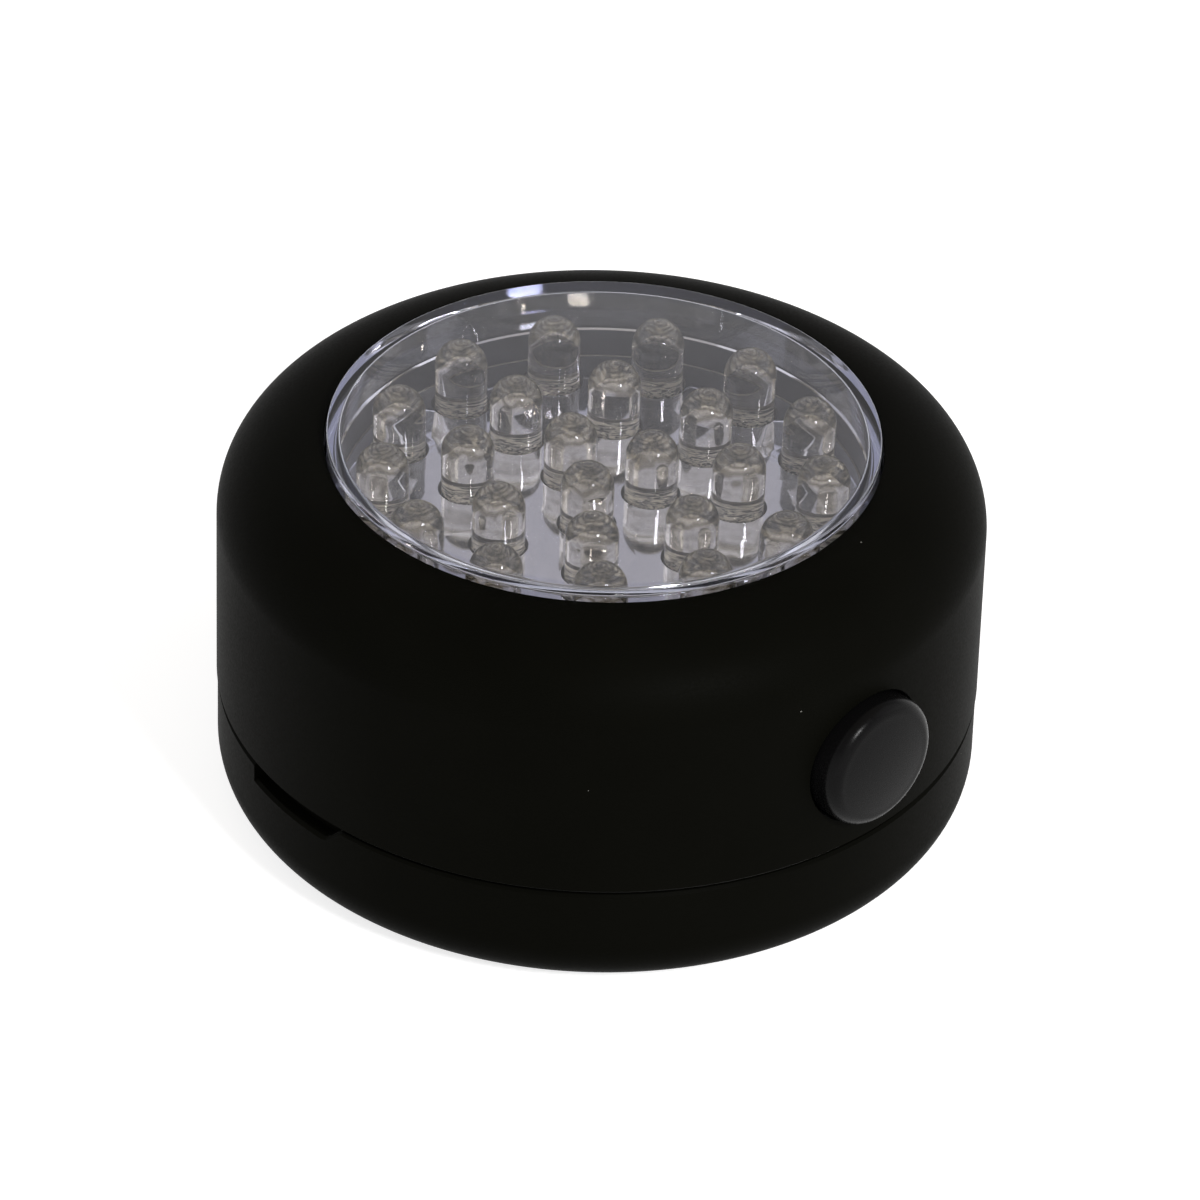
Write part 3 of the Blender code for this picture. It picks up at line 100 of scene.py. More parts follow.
def new_object(name, data):
    """Object of some data, linked to the scene."""
    thing = bpy.data.objects.new(name, data)
    scene.collection.objects.link(thing)
    return thing


def new_material(name):
    """Empty material, as (material, its node tree)."""
    material = bpy.data.materials.new(name)
    material.use_nodes = True
    material.node_tree.nodes.clear()
    return material, material.node_tree


def close_material(tree, inputs):
    """End a material with one Principled shader, its inputs filled with values or links."""
    shader = add_node(tree, "ShaderNodeBsdfPrincipled", inputs)
    add_node(tree, "ShaderNodeOutputMaterial", {"Surface": shader.outputs["BSDF"]})


print("mid grey #808080 is", round(linear("#808080")[0], 3), "in linear light")

# %% [markdown]
# ## The camera
# The photograph was taken with a long lens from in front and about 35 degrees above the table. The window's
# ellipse, the height of the wall and the round foot gave the distance and the lens together. A Track To
# constraint could aim a camera, but a matrix is exact, keeps the slight roll of the picture, and moves
# nothing afterwards.

# %% Camera
CAMERA_TILT = math.radians(35.138)
CAMERA_ROLL = math.radians(1.81)
CAMERA_DISTANCE = 753.389
CAMERA_TARGET = Vector((0.0, 0.0, 15.0))
PICTURE = 1200
FOCAL_PIXELS = 8203.745
CENTRE_PIXEL = (598.05, 633.954)

forward = Vector((0.0, math.cos(CAMERA_TILT), -math.sin(CAMERA_TILT)))
level = Vector((1.0, 0.0, 0.0))
upward = level.cross(forward)
across = math.cos(CAMERA_ROLL) * level + math.sin(CAMERA_ROLL) * upward
rising = -math.sin(CAMERA_ROLL) * level + math.cos(CAMERA_ROLL) * upward
eye = (CAMERA_TARGET - forward * CAMERA_DISTANCE) * MM

camera_data = bpy.data.cameras.new("camera")
camera_data.sensor_width = 36.0
camera_data.lens = FOCAL_PIXELS * camera_data.sensor_width / PICTURE
camera_data.shift_x = (PICTURE / 2 - CENTRE_PIXEL[0]) / PICTURE
camera_data.shift_y = (CENTRE_PIXEL[1] - PICTURE / 2) / PICTURE
camera_data.clip_start = 0.01
camera = new_object("camera", camera_data)
camera.matrix_world = Matrix((
    (across.x, rising.x, -forward.x, eye.x),
    (across.y, rising.y, -forward.y, eye.y),
    (across.z, rising.z, -forward.z, eye.z),
    (0.0, 0.0, 0.0, 1.0),
))
scene.camera = camera
print("lens", round(camera_data.lens, 1), "mm, camera", round(CAMERA_DISTANCE), "mm away")

# %% [markdown]
# ## Floor and light
# A picture for a shop is taken on a white table inside a bright tent. The table is a plain pale plane. Part
# of its white is a faint glow that only the camera, mirrors and glass can see, so it reads white and still
# darkens under the object. From below it is clear, so that the magnet and the hook can be looked at. The
# tent is the world: pale all round, greyer above, which the mirror behind the window shows, and brown-grey
# at the crown, which the domes of the lamps show, because they bend the view far up. One small light, high
# in front on the right, gives the sharp points on the domes and the button. Two large soft lights fill the
# shade a little.

# %% Floor
FLOOR_SIDE = 4.0
FLOOR_GLOW = 0.74
FLOOR_DROP = 0.2

floor_material, tree = new_material("pale_matt_table")
paths = add_node(tree, "ShaderNodeLightPath")
seen = add_node(tree, "ShaderNodeMath",
                {0: paths.outputs["Is Camera Ray"], 1: paths.outputs["Is Glossy Ray"]}, operation="MAXIMUM")
seen = add_node(tree, "ShaderNodeMath",
                {0: seen.outputs["Value"], 1: paths.outputs["Is Transmission Ray"]}, operation="MAXIMUM")
glow = add_node(tree, "ShaderNodeMath", {0: seen.outputs["Value"], 1: FLOOR_GLOW}, operation="MULTIPLY")
matt = add_node(tree, "ShaderNodeBsdfPrincipled",
                {"Base Color": linear("#C2C2C2"), "Roughness": 0.9, "Specular IOR Level": 0.0})
light = add_node(tree, "ShaderNodeEmission", {"Color": linear("#FFFFFF"), "Strength": glow.outputs["Value"]})
both = add_node(tree, "ShaderNodeAddShader", {0: matt.outputs["BSDF"], 1: light.outputs["Emission"]})
sides = add_node(tree, "ShaderNodeNewGeometry")
clear_below = add_node(tree, "ShaderNodeBsdfTransparent")
both = add_node(tree, "ShaderNodeMixShader", {
    0: sides.outputs["Backfacing"], 1: both.outputs["Shader"], 2: clear_below.outputs["BSDF"],
})
add_node(tree, "ShaderNodeOutputMaterial", {"Surface": both.outputs["Shader"]})

floor_mesh = bpy.data.meshes.new("floor")
near, far = -FLOOR_SIDE / 2, FLOOR_SIDE / 2
floor_mesh.from_pydata([(near, near, 0), (far, near, 0), (far, far, 0), (near, far, 0)], [], [(0, 1, 2, 3)])
floor_mesh.materials.append(floor_material)
floor = new_object("floor", floor_mesh)
floor.location.z = -FLOOR_DROP * MM
print("floor", FLOOR_SIDE, "m square")

# %% World and lights
TENT_WALL = "#FFFFFF"
TENT_ABOVE = (("#ACABAE", 0.12, 0.50), ("#A8A398", 0.68, 0.90))
TENT_LIGHT = 1.25

world = bpy.data.worlds.new("light_tent")
scene.world = world
world.use_nodes = True
tree = world.node_tree
tree.nodes.clear()
direction = add_node(tree, "ShaderNodeTexCoord")
height = add_node(tree, "ShaderNodeSeparateXYZ", {"Vector": direction.outputs["Generated"]})
tent = linear(TENT_WALL)
for colour, begins, complete in TENT_ABOVE:
    share = add_node(tree, "ShaderNodeMapRange",
                     {"Value": height.outputs["Z"], "From Min": begins, "From Max": complete},
                     interpolation_type="SMOOTHSTEP")
    tent = add_node(tree, "ShaderNodeMix", {0: share.outputs["Result"], 6: tent, 7: linear(colour)},
                    data_type="RGBA").outputs[2]
sky = add_node(tree, "ShaderNodeBackground", {"Color": tent, "Strength": TENT_LIGHT})
add_node(tree, "ShaderNodeOutputWorld", {"Surface": sky.outputs["Background"]})

LIGHTS = (
    ("key_lamp", (0.412, -0.684, 0.602), 0.80, 0.14, 4.4),
    ("soft_left", (-0.80, -0.10, 0.60), 1.30, 1.10, 1.5),
    ("soft_right", (0.85, 0.10, 0.52), 1.40, 1.10, 2.1),
)
for name, toward, distance, size, power in LIGHTS:
    lamp = bpy.data.lights.new(name, "AREA")
    lamp.shape = "DISK"
    lamp.size = size
    lamp.energy = power
    holder = new_object(name, lamp)
    toward = Vector(toward).normalized()
    holder.location = toward * distance
    holder.rotation_euler = toward.to_track_quat("Z", "Y").to_euler()
    print(name, "at", distance, "m,", size, "m wide,", power, "W")

# %% [markdown]
# ## How the round pieces are made
# Nearly every piece of this light is turned or moulded round one axis. Blender's Screw modifier could turn a
# profile, but a small lathe closes the poles with single points and keeps the shape watertight, which
# matters for the cuts that follow. Exact Booleans cut the holes and pockets, as a mould's core pins leave
# them, and every result is baked to a plain mesh at once.

# %% Lathe, blocks and cuts
SMOOTH_ANGLE = math.radians(28)
FINE, MEDIUM, COARSE, SMALL = 192, 96, 48, 24


def corners(node):
    """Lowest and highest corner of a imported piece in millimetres."""
    return [[round(value / MM, 3) for value in corner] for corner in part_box(node)]


def arc(centre, radii, start, end, steps):
    """Points of a round or elliptical arc, its angles in degrees, both ends included."""
    wide, tall = radii if isinstance(radii, tuple) else (radii, radii)
    turns = [math.radians(start + (end - start) * step / steps) for step in range(steps + 1)]
    return [(centre[0] + wide * math.cos(turn), centre[1] + tall * math.sin(turn)) for turn in turns]


def shift(x, y, z):
    """Shift in millimetres."""
    return Matrix.Translation((x * MM, y * MM, z * MM))


def rotation(degrees, axis="Z"):
    """Turn round an axis through the origin."""
    return Matrix.Rotation(math.radians(degrees), 4, axis)


def beside(radius, degrees, height=0.0):
    """Shift to a place on a circle round the middle."""
    turn = math.radians(degrees)
    return Matrix.Translation((radius * MM * math.cos(turn), radius * MM * math.sin(turn), height * MM))


def lathe(outline, steps):
    """Closed shell of an outline of (radius, height) points in millimetres, turned round Z."""
    shell = bmesh.new()
    rings = []
    for radius, height in outline:
        if radius < 1e-6:
            rings.append([shell.verts.new((0.0, 0.0, height * MM))] * steps)
            continue
        turns = [math.tau * step / steps for step in range(steps)]
        ring = [(radius * MM * math.cos(turn), radius * MM * math.sin(turn), height * MM) for turn in turns]
        rings.append([shell.verts.new(point) for point in ring])
    for ring, following in zip(rings, rings[1:] + rings[:1]):
        if ring[0] is ring[1] and following[0] is following[1]:
            continue
        for step in range(steps):
            after = (step + 1) % steps
            shell.faces.new(dict.fromkeys((ring[step], ring[after], following[after], following[step])))
    bmesh.ops.recalc_face_normals(shell, faces=shell.faces)
    return shell


def rod(radius, low, high, steps=COARSE):
    """Plain round bar along Z, for pins, pegs and cutters."""
    return lathe([(0.0, low), (radius, low), (radius, high), (0.0, high)], steps)


def turned_bar(radius, low, high, edge, steps, hole=0.0):
    """Round bar or washer along Z with chamfered ends."""
    outline = [(hole, low), (radius - edge, low), (radius, low + edge),
               (radius, high - edge), (radius - edge, high), (hole, high)]
    return lathe(outline, steps)


def block(across, along, height):
    """Box between two corners, for ribs and cutters."""
    shell = bmesh.new()
    sizes = [high - low for low, high in (across, along, height)]
    middle = [(high + low) / 2 * MM for low, high in (across, along, height)]
    bmesh.ops.create_cube(shell, size=MM, matrix=Matrix.Translation(middle) @ Matrix.Diagonal((*sizes, 1.0)))
    return shell


def prism(outline, low, high):
    """Flat outline in millimetres, drawn out along Z."""
    shell = bmesh.new()
    face = shell.faces.new([shell.verts.new((x * MM, y * MM, low * MM)) for x, y in outline])
    drawn = bmesh.ops.extrude_face_region(shell, geom=[face])
    raised = [item for item in drawn["geom"] if isinstance(item, bmesh.types.BMVert)]
    bmesh.ops.translate(shell, verts=raised, vec=(0.0, 0.0, (high - low) * MM))
    bmesh.ops.recalc_face_normals(shell, faces=shell.faces)
    return shell


def moved(shell, place):
    """The same shell, carried to its place."""
    bmesh.ops.transform(shell, matrix=place, verts=shell.verts)
    return shell


def gathered(shells):
    """One shell from several, which are used up."""
    whole = bmesh.new()
    for shell in shells:
        copy = bpy.data.meshes.new("copy")
        shell.to_mesh(copy)
        shell.free()
        whole.from_mesh(copy)
        bpy.data.meshes.remove(copy)
    return whole


def shape(name, shell, *materials):
    """Object at the origin from a shell, which is used up."""
    mesh = bpy.data.meshes.new(name)
    shell.to_mesh(mesh)
    shell.free()
    for material in materials:
        mesh.materials.append(material)
    return new_object(name, mesh)


def soften(piece):
    """Shade a piece smooth, except across its sharp edges."""
    piece.data.shade_smooth()
    piece.data.set_sharp_from_angle(angle=SMOOTH_ANGLE)


def bake(piece):
    """Replace a piece's mesh by what its modifiers make, and drop the modifiers."""
    graph = bpy.context.evaluated_depsgraph_get()
    mesh = bpy.data.meshes.new_from_object(piece.evaluated_get(graph))
    piece.modifiers.clear()
    piece.data = mesh


def carve(piece, shell, operation="DIFFERENCE"):
    """Cut a shell from a piece, or join it on."""
    tool = shape("tool", shell)
    modifier = piece.modifiers.new("carve", "BOOLEAN")
    modifier.operation = operation
    modifier.solver = "EXACT"
    modifier.object = tool
    bake(piece)
    bpy.data.objects.remove(tool)


def dress(piece, body, slot, *nodes):
    """Hand a finished piece to the frame: it rides on a body and stands for its nodes, if it has any."""
    soften(piece)
    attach(piece, body)
    if nodes:
        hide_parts(*nodes)
    print(piece.name, "-", sum(len(face.vertices) - 2 for face in piece.data.polygons), "triangles")


print("round steps:", FINE, MEDIUM, COARSE, SMALL)

# %% [markdown]
# ## Soft-touch coating
# The housing and its back are moulded in black ABS and sprayed with a rubbery coating. It looks almost black
# from straight on and paler at a low angle, where the sheen of a fine matt grain grows. So the base is very
# dark, the surface rough, and the reflection at a right angle weak. The real grain of about 0.05 mm is too
# fine to show here, so it is drawn at 0.25 mm. A few specks of pale dust, 0.1 to 0.2 mm wide, stick to it,
# as in the photograph. The button is the same plastic without the coating, so it shares the recipe with less
# roughness and more shine.

# %% Coating material
GRAIN_SIZE = 0.25
CLOUD_SIZE = 12.0
DUST_SPACING = 2.6
DUST_RADIUS = 0.09


def coated_abs(name, base, pale, roughness, shine, sheen, dusty):
    """Black moulded ABS with a matt grain, slight clouding and a few specks of dust."""
    material, tree = new_material(name)
    where = add_node(tree, "ShaderNodeTexCoord").outputs["Object"]
    clouds = add_node(tree, "ShaderNodeTexNoise",
                      {"Vector": where, "Scale": 1 / (CLOUD_SIZE * MM), "Detail": 3.0})
    grain = add_node(tree, "ShaderNodeTexNoise",
                     {"Vector": where, "Scale": 1 / (GRAIN_SIZE * MM), "Detail": 2.0})
    cells = add_node(tree, "ShaderNodeTexVoronoi", {"Vector": where, "Scale": 1 / (DUST_SPACING * MM)})
    chance = add_node(tree, "ShaderNodeSeparateColor", {"Color": cells.outputs["Color"]})
    reach = add_node(tree, "ShaderNodeMapRange", {
        "Value": chance.outputs["Red"], "From Min": 1.0 - dusty, "From Max": 1.0,
        "To Min": 0.0, "To Max": DUST_RADIUS / DUST_SPACING,
    })
    speck = add_node(tree, "ShaderNodeMath", {0: cells.outputs["Distance"], 1: reach.outputs["Result"]},
                     operation="LESS_THAN")
    tone = add_node(tree, "ShaderNodeMix", {0: clouds.outputs["Fac"], 6: linear(base), 7: linear(pale)},
                    data_type="RGBA")
    tone = add_node(tree, "ShaderNodeMix",
                    {0: speck.outputs["Value"], 6: tone.outputs[2], 7: linear("#7A7974")}, data_type="RGBA")
    rough = add_node(tree, "ShaderNodeMapRange", {
        "Value": grain.outputs["Fac"], "From Min": 0.3, "From Max": 0.7,
        "To Min": roughness - 0.05, "To Max": roughness + 0.05,
    })
    relief = add_node(tree, "ShaderNodeBump",
                      {"Height": grain.outputs["Fac"], "Strength": 0.25, "Distance": 0.02 * MM})
    close_material(tree, {
        "Base Color": tone.outputs[2], "Roughness": rough.outputs["Result"], "Specular IOR Level": shine,
        "Sheen Weight": sheen, "Sheen Roughness": 0.2, "Normal": relief.outputs["Normal"],
    })
    return material


soft_touch = coated_abs("black_abs_soft_touch_sprayed", "#060604", "#0A0A07", 0.50, 0.01, 0.03, 0.35)
satin_abs = coated_abs("black_abs_satin_moulded", "#070707", "#0B0A0B", 0.26, 0.07, 0.0, 0.10)
print("coating grain", GRAIN_SIZE, "mm, dust about every", DUST_SPACING, "mm")

# %% [markdown]
# ## Plain plastics and plated metals
# Two recipes serve the smaller pieces. A plastic or a lacquer changes its tone in fine patches, and some
# show the same grain as relief. A plated metal has one colour, but its roughness drifts, so its shine breaks
# up: springs, contacts, screws and the pin are steel with a thin coat of nickel, a warm silver that is
# neither dull nor a mirror. The magnet's nickel also shows the grain of the pressed powder under it. The
# colour of a metal sits in its base colour, and its index is left alone.

# %% Two recipes
def speckled(name, dark, pale, size, roughness, detail=3.0, depth=0.0):
    """Plastic or lacquer with a fine change of tone, the size and depth of its grain in millimetres."""
    material, tree = new_material(name)
    where = add_node(tree, "ShaderNodeTexCoord").outputs["Object"]
    grain = add_node(tree, "ShaderNodeTexNoise",
                     {"Vector": where, "Scale": 1 / (size * MM), "Detail": detail})
    tone = add_node(tree, "ShaderNodeMix", {0: grain.outputs["Fac"], 6: linear(dark), 7: linear(pale)},
                    data_type="RGBA")
    inputs = {"Base Color": tone.outputs[2], "Roughness": roughness}
    if depth:
        relief = add_node(tree, "ShaderNodeBump",
                          {"Height": grain.outputs["Fac"], "Strength": 0.3, "Distance": depth * MM})
        inputs["Normal"] = relief.outputs["Normal"]
    close_material(tree, inputs)
    return material


def plated_metal(name, colour, size, detail, smoothest, roughest, pressed=0.0):
    """Plated metal whose roughness drifts, with the grain of pressed powder under it where one is given."""
    material, tree = new_material(name)
    where = add_node(tree, "ShaderNodeTexCoord").outputs["Object"]
    smear = add_node(tree, "ShaderNodeTexNoise",
                     {"Vector": where, "Scale": 1 / (size * MM), "Detail": detail})
    rough = add_node(tree, "ShaderNodeMapRange",
                     {"Value": smear.outputs["Fac"], "To Min": smoothest, "To Max": roughest})
    inputs = {"Base Color": linear(colour), "Metallic": 1.0, "Roughness": rough.outputs["Result"]}
    if pressed:
        powder = add_node(tree, "ShaderNodeTexNoise",
                          {"Vector": where, "Scale": 1 / (pressed * MM), "Detail": 3.0})
        relief = add_node(tree, "ShaderNodeBump",
                          {"Height": powder.outputs["Fac"], "Strength": 0.25, "Distance": 0.02 * MM})
        inputs["Normal"] = relief.outputs["Normal"]
    close_material(tree, inputs)
    return material


nickel_on_steel = plated_metal("steel_nickel_plated", "#CAC5BB", 2.0, 4.0, 0.18, 0.38)
nickel_on_magnet = plated_metal("magnet_nickel_skin", "#C4C3C1", 5.0, 5.0, 0.16, 0.40, pressed=0.35)
tin_on_steel = plated_metal("steel_tin_plated", "#C9C6C0", 0.3, 3.0, 0.22, 0.42)
print("metals:", nickel_on_steel.name, nickel_on_magnet.name, tin_on_steel.name)

# %% [markdown]
# ## Front housing
# The housing is one deep moulding: a straight wall, a shoulder shaped as a quarter of an ellipse, and a
# round window whose lip holds the lens. Inside it has a snap groove, three screw bosses and a key that fixes
# the turn of the back. A solid of the outside, less a solid of the cavity, gives the wall its true thickness
# everywhere, as cavity and core do in a mould. The hole for the button is cut last, square through the wall.

# %% Front housing
(_, _, BODY_FOOT), (BODY_RADIUS, _, BODY_TOP) = corners("front_housing")
WALL, EDGE, OVERCUT = 2.0, 0.25, 1.0
INNER_RADIUS = BODY_RADIUS - WALL
WINDOW, LIP_EDGE, LIP_FALL, LIP_UNDER, SEAT_RADIUS = 25.3, 0.12, 0.01, 34.3, 27.3
SHOULDER_FOOT, SHOULDER_TURN = 28.5, 88.6
SHOULDER = (BODY_RADIUS - WINDOW, BODY_TOP - SHOULDER_FOOT)
BEAD_MIDDLE, BEAD_HALF, BEAD_DEPTH = 12.85, 0.8, 0.2
BAY_ANGLE = -136.0
BUTTON_HEIGHT, BUTTON_HOLE = 20.4, 6.55
BOSS_ANGLES = (-8.0, 134.0, 276.0)
BOSS_PLACE, BOSS_RADIUS, BOSS_FOOT, PILOT_RADIUS, PILOT_TOP = 30.5, 2.8, 22.3, 1.2, 27.5
KEY_ANGLE, KEY_HALF, KEY_REACH, KEY_TOP = 39.7, 2.0, 31.8, 16.25

BAY_TURN = rotation(BAY_ANGLE)
BUTTON_AXIS = BAY_TURN @ shift(0.0, 0.0, BUTTON_HEIGHT) @ rotation(-90, "X")

outside = [(0.0, BODY_FOOT), (BODY_RADIUS - EDGE, BODY_FOOT), (BODY_RADIUS, BODY_FOOT + EDGE)]
outside += arc((WINDOW, SHOULDER_FOOT), SHOULDER, 0, SHOULDER_TURN, 40)
outside += [(WINDOW + LIP_EDGE, BODY_TOP - LIP_FALL), (WINDOW, BODY_TOP - LIP_EDGE),
            (0.0, BODY_TOP - LIP_EDGE)]
inner_radii = (SHOULDER[0] - WALL, SHOULDER[1] - WALL)
seat_turn = math.degrees(math.acos((SEAT_RADIUS - WINDOW) / inner_radii[0]))
inside = [(0.0, BODY_FOOT - OVERCUT), (INNER_RADIUS, BODY_FOOT - OVERCUT),
          (INNER_RADIUS, BEAD_MIDDLE - BEAD_HALF), (INNER_RADIUS + BEAD_DEPTH, BEAD_MIDDLE),
          (INNER_RADIUS, BEAD_MIDDLE + BEAD_HALF)]
inside += arc((WINDOW, SHOULDER_FOOT), inner_radii, 0, seat_turn, 16)
inside += [(SEAT_RADIUS, LIP_UNDER), (WINDOW, LIP_UNDER), (WINDOW, BODY_TOP + OVERCUT),
           (0.0, BODY_TOP + OVERCUT)]

cavity = shape("cavity", lathe(inside, FINE))
for degrees in BOSS_ANGLES:
    carve(cavity, moved(rod(BOSS_RADIUS, BOSS_FOOT, BODY_TOP), beside(BOSS_PLACE, degrees)))
key = block((KEY_REACH, BODY_RADIUS), (-KEY_HALF, KEY_HALF), (BODY_FOOT - OVERCUT, KEY_TOP))
carve(cavity, moved(key, rotation(KEY_ANGLE)))
core = bmesh.new()
core.from_mesh(cavity.data)
bpy.data.objects.remove(cavity)

housing = shape("housing_shell", lathe(outside, FINE), soft_touch)
carve(housing, core)
for degrees in BOSS_ANGLES:
    carve(housing, moved(rod(PILOT_RADIUS, BOSS_FOOT - OVERCUT, PILOT_TOP, 32), beside(BOSS_PLACE, degrees)))
carve(housing, moved(rod(BUTTON_HOLE, 30.0, 38.0, MEDIUM), BUTTON_AXIS))
dress(housing, "housing", "soft_black", "front_housing")

# %% [markdown]
# ## Rear cover
# The back is a shallow dish with a rounded foot. It snaps into the housing with a spigot and a small bead,
# and a notch at the parting line takes a coin or a nail. In its middle sits the recess of the turntable. The
# notch follows the wall, steps in sharply at one end and runs out at the other, so its cutter is not a
# straight box but a row of sections round the same axis whose floor rises.

# %% Rear cover
_, (COVER_RADIUS, _, SPIGOT_TOP) = corners("rear_cover")
COVER_TOP, COVER_FILLET, COVER_WALL = 11.15, 5.2, 2.0
SPIGOT_RADIUS, SPIGOT_INNER, SPIGOT_FOOT, SPIGOT_EDGE = 32.7, 31.5, 8.55, 0.2
RECESS_RADIUS, RECESS_DEPTH, RECESS_WALL, DECK_TOP, HUB_HOLE = 23.0, 5.6, 24.6, 7.1, 4.3
KEY_SLOT_HALF, BUTTON_GAP_HALF = 2.3, 7.55
RIB_SIDE, RIB_HALF, RIB_LENGTH, RIB_TOP = 13.0, 0.6, 33.0, 9.6
fillet_middle = (COVER_RADIUS - COVER_FILLET, COVER_FILLET)

outline = [(HUB_HOLE, RECESS_DEPTH), (RECESS_RADIUS, RECESS_DEPTH), (RECESS_RADIUS, 0.3),
           (RECESS_RADIUS + 0.09, 0.09), (RECESS_RADIUS + 0.3, 0.0)]
outline += arc(fillet_middle, COVER_FILLET, -90, 0, 24)
outline += [(COVER_RADIUS, COVER_TOP - EDGE), (COVER_RADIUS - EDGE, COVER_TOP), (SPIGOT_RADIUS, COVER_TOP),
            (SPIGOT_RADIUS, BEAD_MIDDLE - BEAD_HALF), (SPIGOT_RADIUS + BEAD_DEPTH, BEAD_MIDDLE),
            (SPIGOT_RADIUS, BEAD_MIDDLE + BEAD_HALF), (SPIGOT_RADIUS, SPIGOT_TOP - SPIGOT_EDGE),
            (SPIGOT_RADIUS - SPIGOT_EDGE, SPIGOT_TOP), (SPIGOT_INNER + SPIGOT_EDGE, SPIGOT_TOP),
            (SPIGOT_INNER, SPIGOT_TOP - SPIGOT_EDGE), (SPIGOT_INNER, SPIGOT_FOOT),
            (COVER_RADIUS - COVER_WALL, SPIGOT_FOOT - 1.2)]
outline += arc(fillet_middle, COVER_FILLET - COVER_WALL, 0, -90, 12)
outline += [(RECESS_WALL, COVER_WALL), (RECESS_WALL, DECK_TOP), (HUB_HOLE, DECK_TOP)]
cover = shape("back_dish", lathe(outline, FINE), soft_touch)

# %% Finger notch, openings and ribs of the cover
NOTCH_ANGLE, NOTCH_LENGTH, NOTCH_STEPS, NOTCH_RUNOUT = 219.7, 13.8, 32, 0.22
NOTCH_FLOOR, NOTCH_BACK, NOTCH_SILL, NOTCH_FRONT, NOTCH_SLOPE = 9.5, 33.4, 34.6, 36.0, 1.4

notch = bmesh.new()
sections = []
for step in range(NOTCH_STEPS + 1):
    share = step / NOTCH_STEPS
    turn = math.radians(NOTCH_ANGLE + math.degrees(NOTCH_LENGTH / COVER_RADIUS) * (share - 0.5))
    rise = max(0.0, 1.0 - (1.0 - share) / NOTCH_RUNOUT)
    sill = NOTCH_FLOOR + (COVER_TOP + 0.3 - NOTCH_FLOOR) * rise ** 2 * (3 - 2 * rise)
    section = [(NOTCH_BACK, COVER_TOP + OVERCUT), (NOTCH_BACK, sill), (NOTCH_SILL, sill),
               (NOTCH_FRONT, sill - NOTCH_SLOPE), (NOTCH_FRONT, COVER_TOP + OVERCUT)]
    ring = [(r * MM * math.cos(turn), r * MM * math.sin(turn), z * MM) for r, z in section]
    sections.append([notch.verts.new(point) for point in ring])
for section, following in zip(sections, sections[1:]):
    for place in range(len(section)):
        after = (place + 1) % len(section)
        notch.faces.new((section[place], section[after], following[after], following[place]))
notch.faces.new(sections[0])
notch.faces.new(sections[-1])
bmesh.ops.recalc_face_normals(notch, faces=notch.faces)
carve(cover, notch)
for half, degrees in ((KEY_SLOT_HALF, KEY_ANGLE), (BUTTON_GAP_HALF, BAY_ANGLE + 90)):
    opening = block((30.5, 33.0), (-half, half), (COVER_TOP, 16.0))
    carve(cover, moved(opening, rotation(degrees)))
for middle in (-RIB_SIDE, RIB_SIDE):
    across = (middle - RIB_HALF, middle + RIB_HALF)
    rib = block(across, (-RIB_LENGTH / 2, RIB_LENGTH / 2), (DECK_TOP - 0.3, RIB_TOP))
    carve(cover, moved(rib, BAY_TURN), "UNION")
dress(cover, "cover", "soft_black", "rear_cover")

# %% [markdown]
# ## Push button
# The button is a separate moulding, left satin from its tool, with a slightly domed face. It shows the
# studio light as one soft bright patch, because it is smoother than the coating. Behind the wall a flange
# keeps it in.

# %% Push button
BUTTON_FACE, BUTTON_RADIUS, BUTTON_EDGE, BUTTON_DOME = 37.5, 6.25, 1.3, 0.35
BUTTON_BACK, BUTTON_FLANGE, BUTTON_FLANGE_RADIUS = 30.89, 1.0, 7.25
BUTTON_BORE, BUTTON_ROOF, BUTTON_PEG = 5.05, 35.2, 2.4

flat_part = BUTTON_RADIUS - BUTTON_EDGE
outline = [(flat_part * step / 12, BUTTON_FACE - BUTTON_DOME * (step / 12) ** 2) for step in range(13)]
outline += arc((flat_part, BUTTON_FACE - BUTTON_DOME - BUTTON_EDGE), BUTTON_EDGE, 82, 0, 14)
outline += [(BUTTON_RADIUS, BUTTON_BACK + BUTTON_FLANGE), (BUTTON_FLANGE_RADIUS, BUTTON_BACK + BUTTON_FLANGE),
            (BUTTON_FLANGE_RADIUS, BUTTON_BACK), (BUTTON_BORE, BUTTON_BACK), (BUTTON_BORE, BUTTON_ROOF),
            (BUTTON_PEG, BUTTON_ROOF), (BUTTON_PEG, BUTTON_BACK), (0.0, BUTTON_BACK)]
button = shape("button_cap", moved(lathe(outline, MEDIUM), BUTTON_AXIS), satin_abs)
dress(button, "button", "satin_black", "push_button")

# %% [markdown]
# ## The window
# The lens is moulded in clear polystyrene: a flat disc with a crisp edge, a skirt that drops through the
# window, and a flange behind the lip. It needs both of its faces, because a single sheet would bend the
# light only once and show the mirror in the wrong place. The index 1.59 is the plastic's own, and the faint
# lilac of its thick edge is in the colour. The flat is polished in the mould, but the edge and the skirt are
# not, so the roughness grows there and the rim reads as an even, misty band.

# %% Clear window
(_, _, FLANGE_UNDER), (FLANGE_RADIUS, _, LENS_TOP) = corners("lens_cover")
LENS_RADIUS, LENS_EDGE, FLANGE_TOP, PLATE_UNDER = 25.1, 0.15, 34.0, 36.3
SKIRT_INNER, SKIRT_FOOT, SKIRT_FILLET = 24.0, 24.2, 0.25
MIST_BEGINS, MIST_COMPLETE, MIST_ROUGHNESS = 24.2, 24.6, 0.04
LILAC_BEGINS, LILAC_COMPLETE = 23.8, 24.3

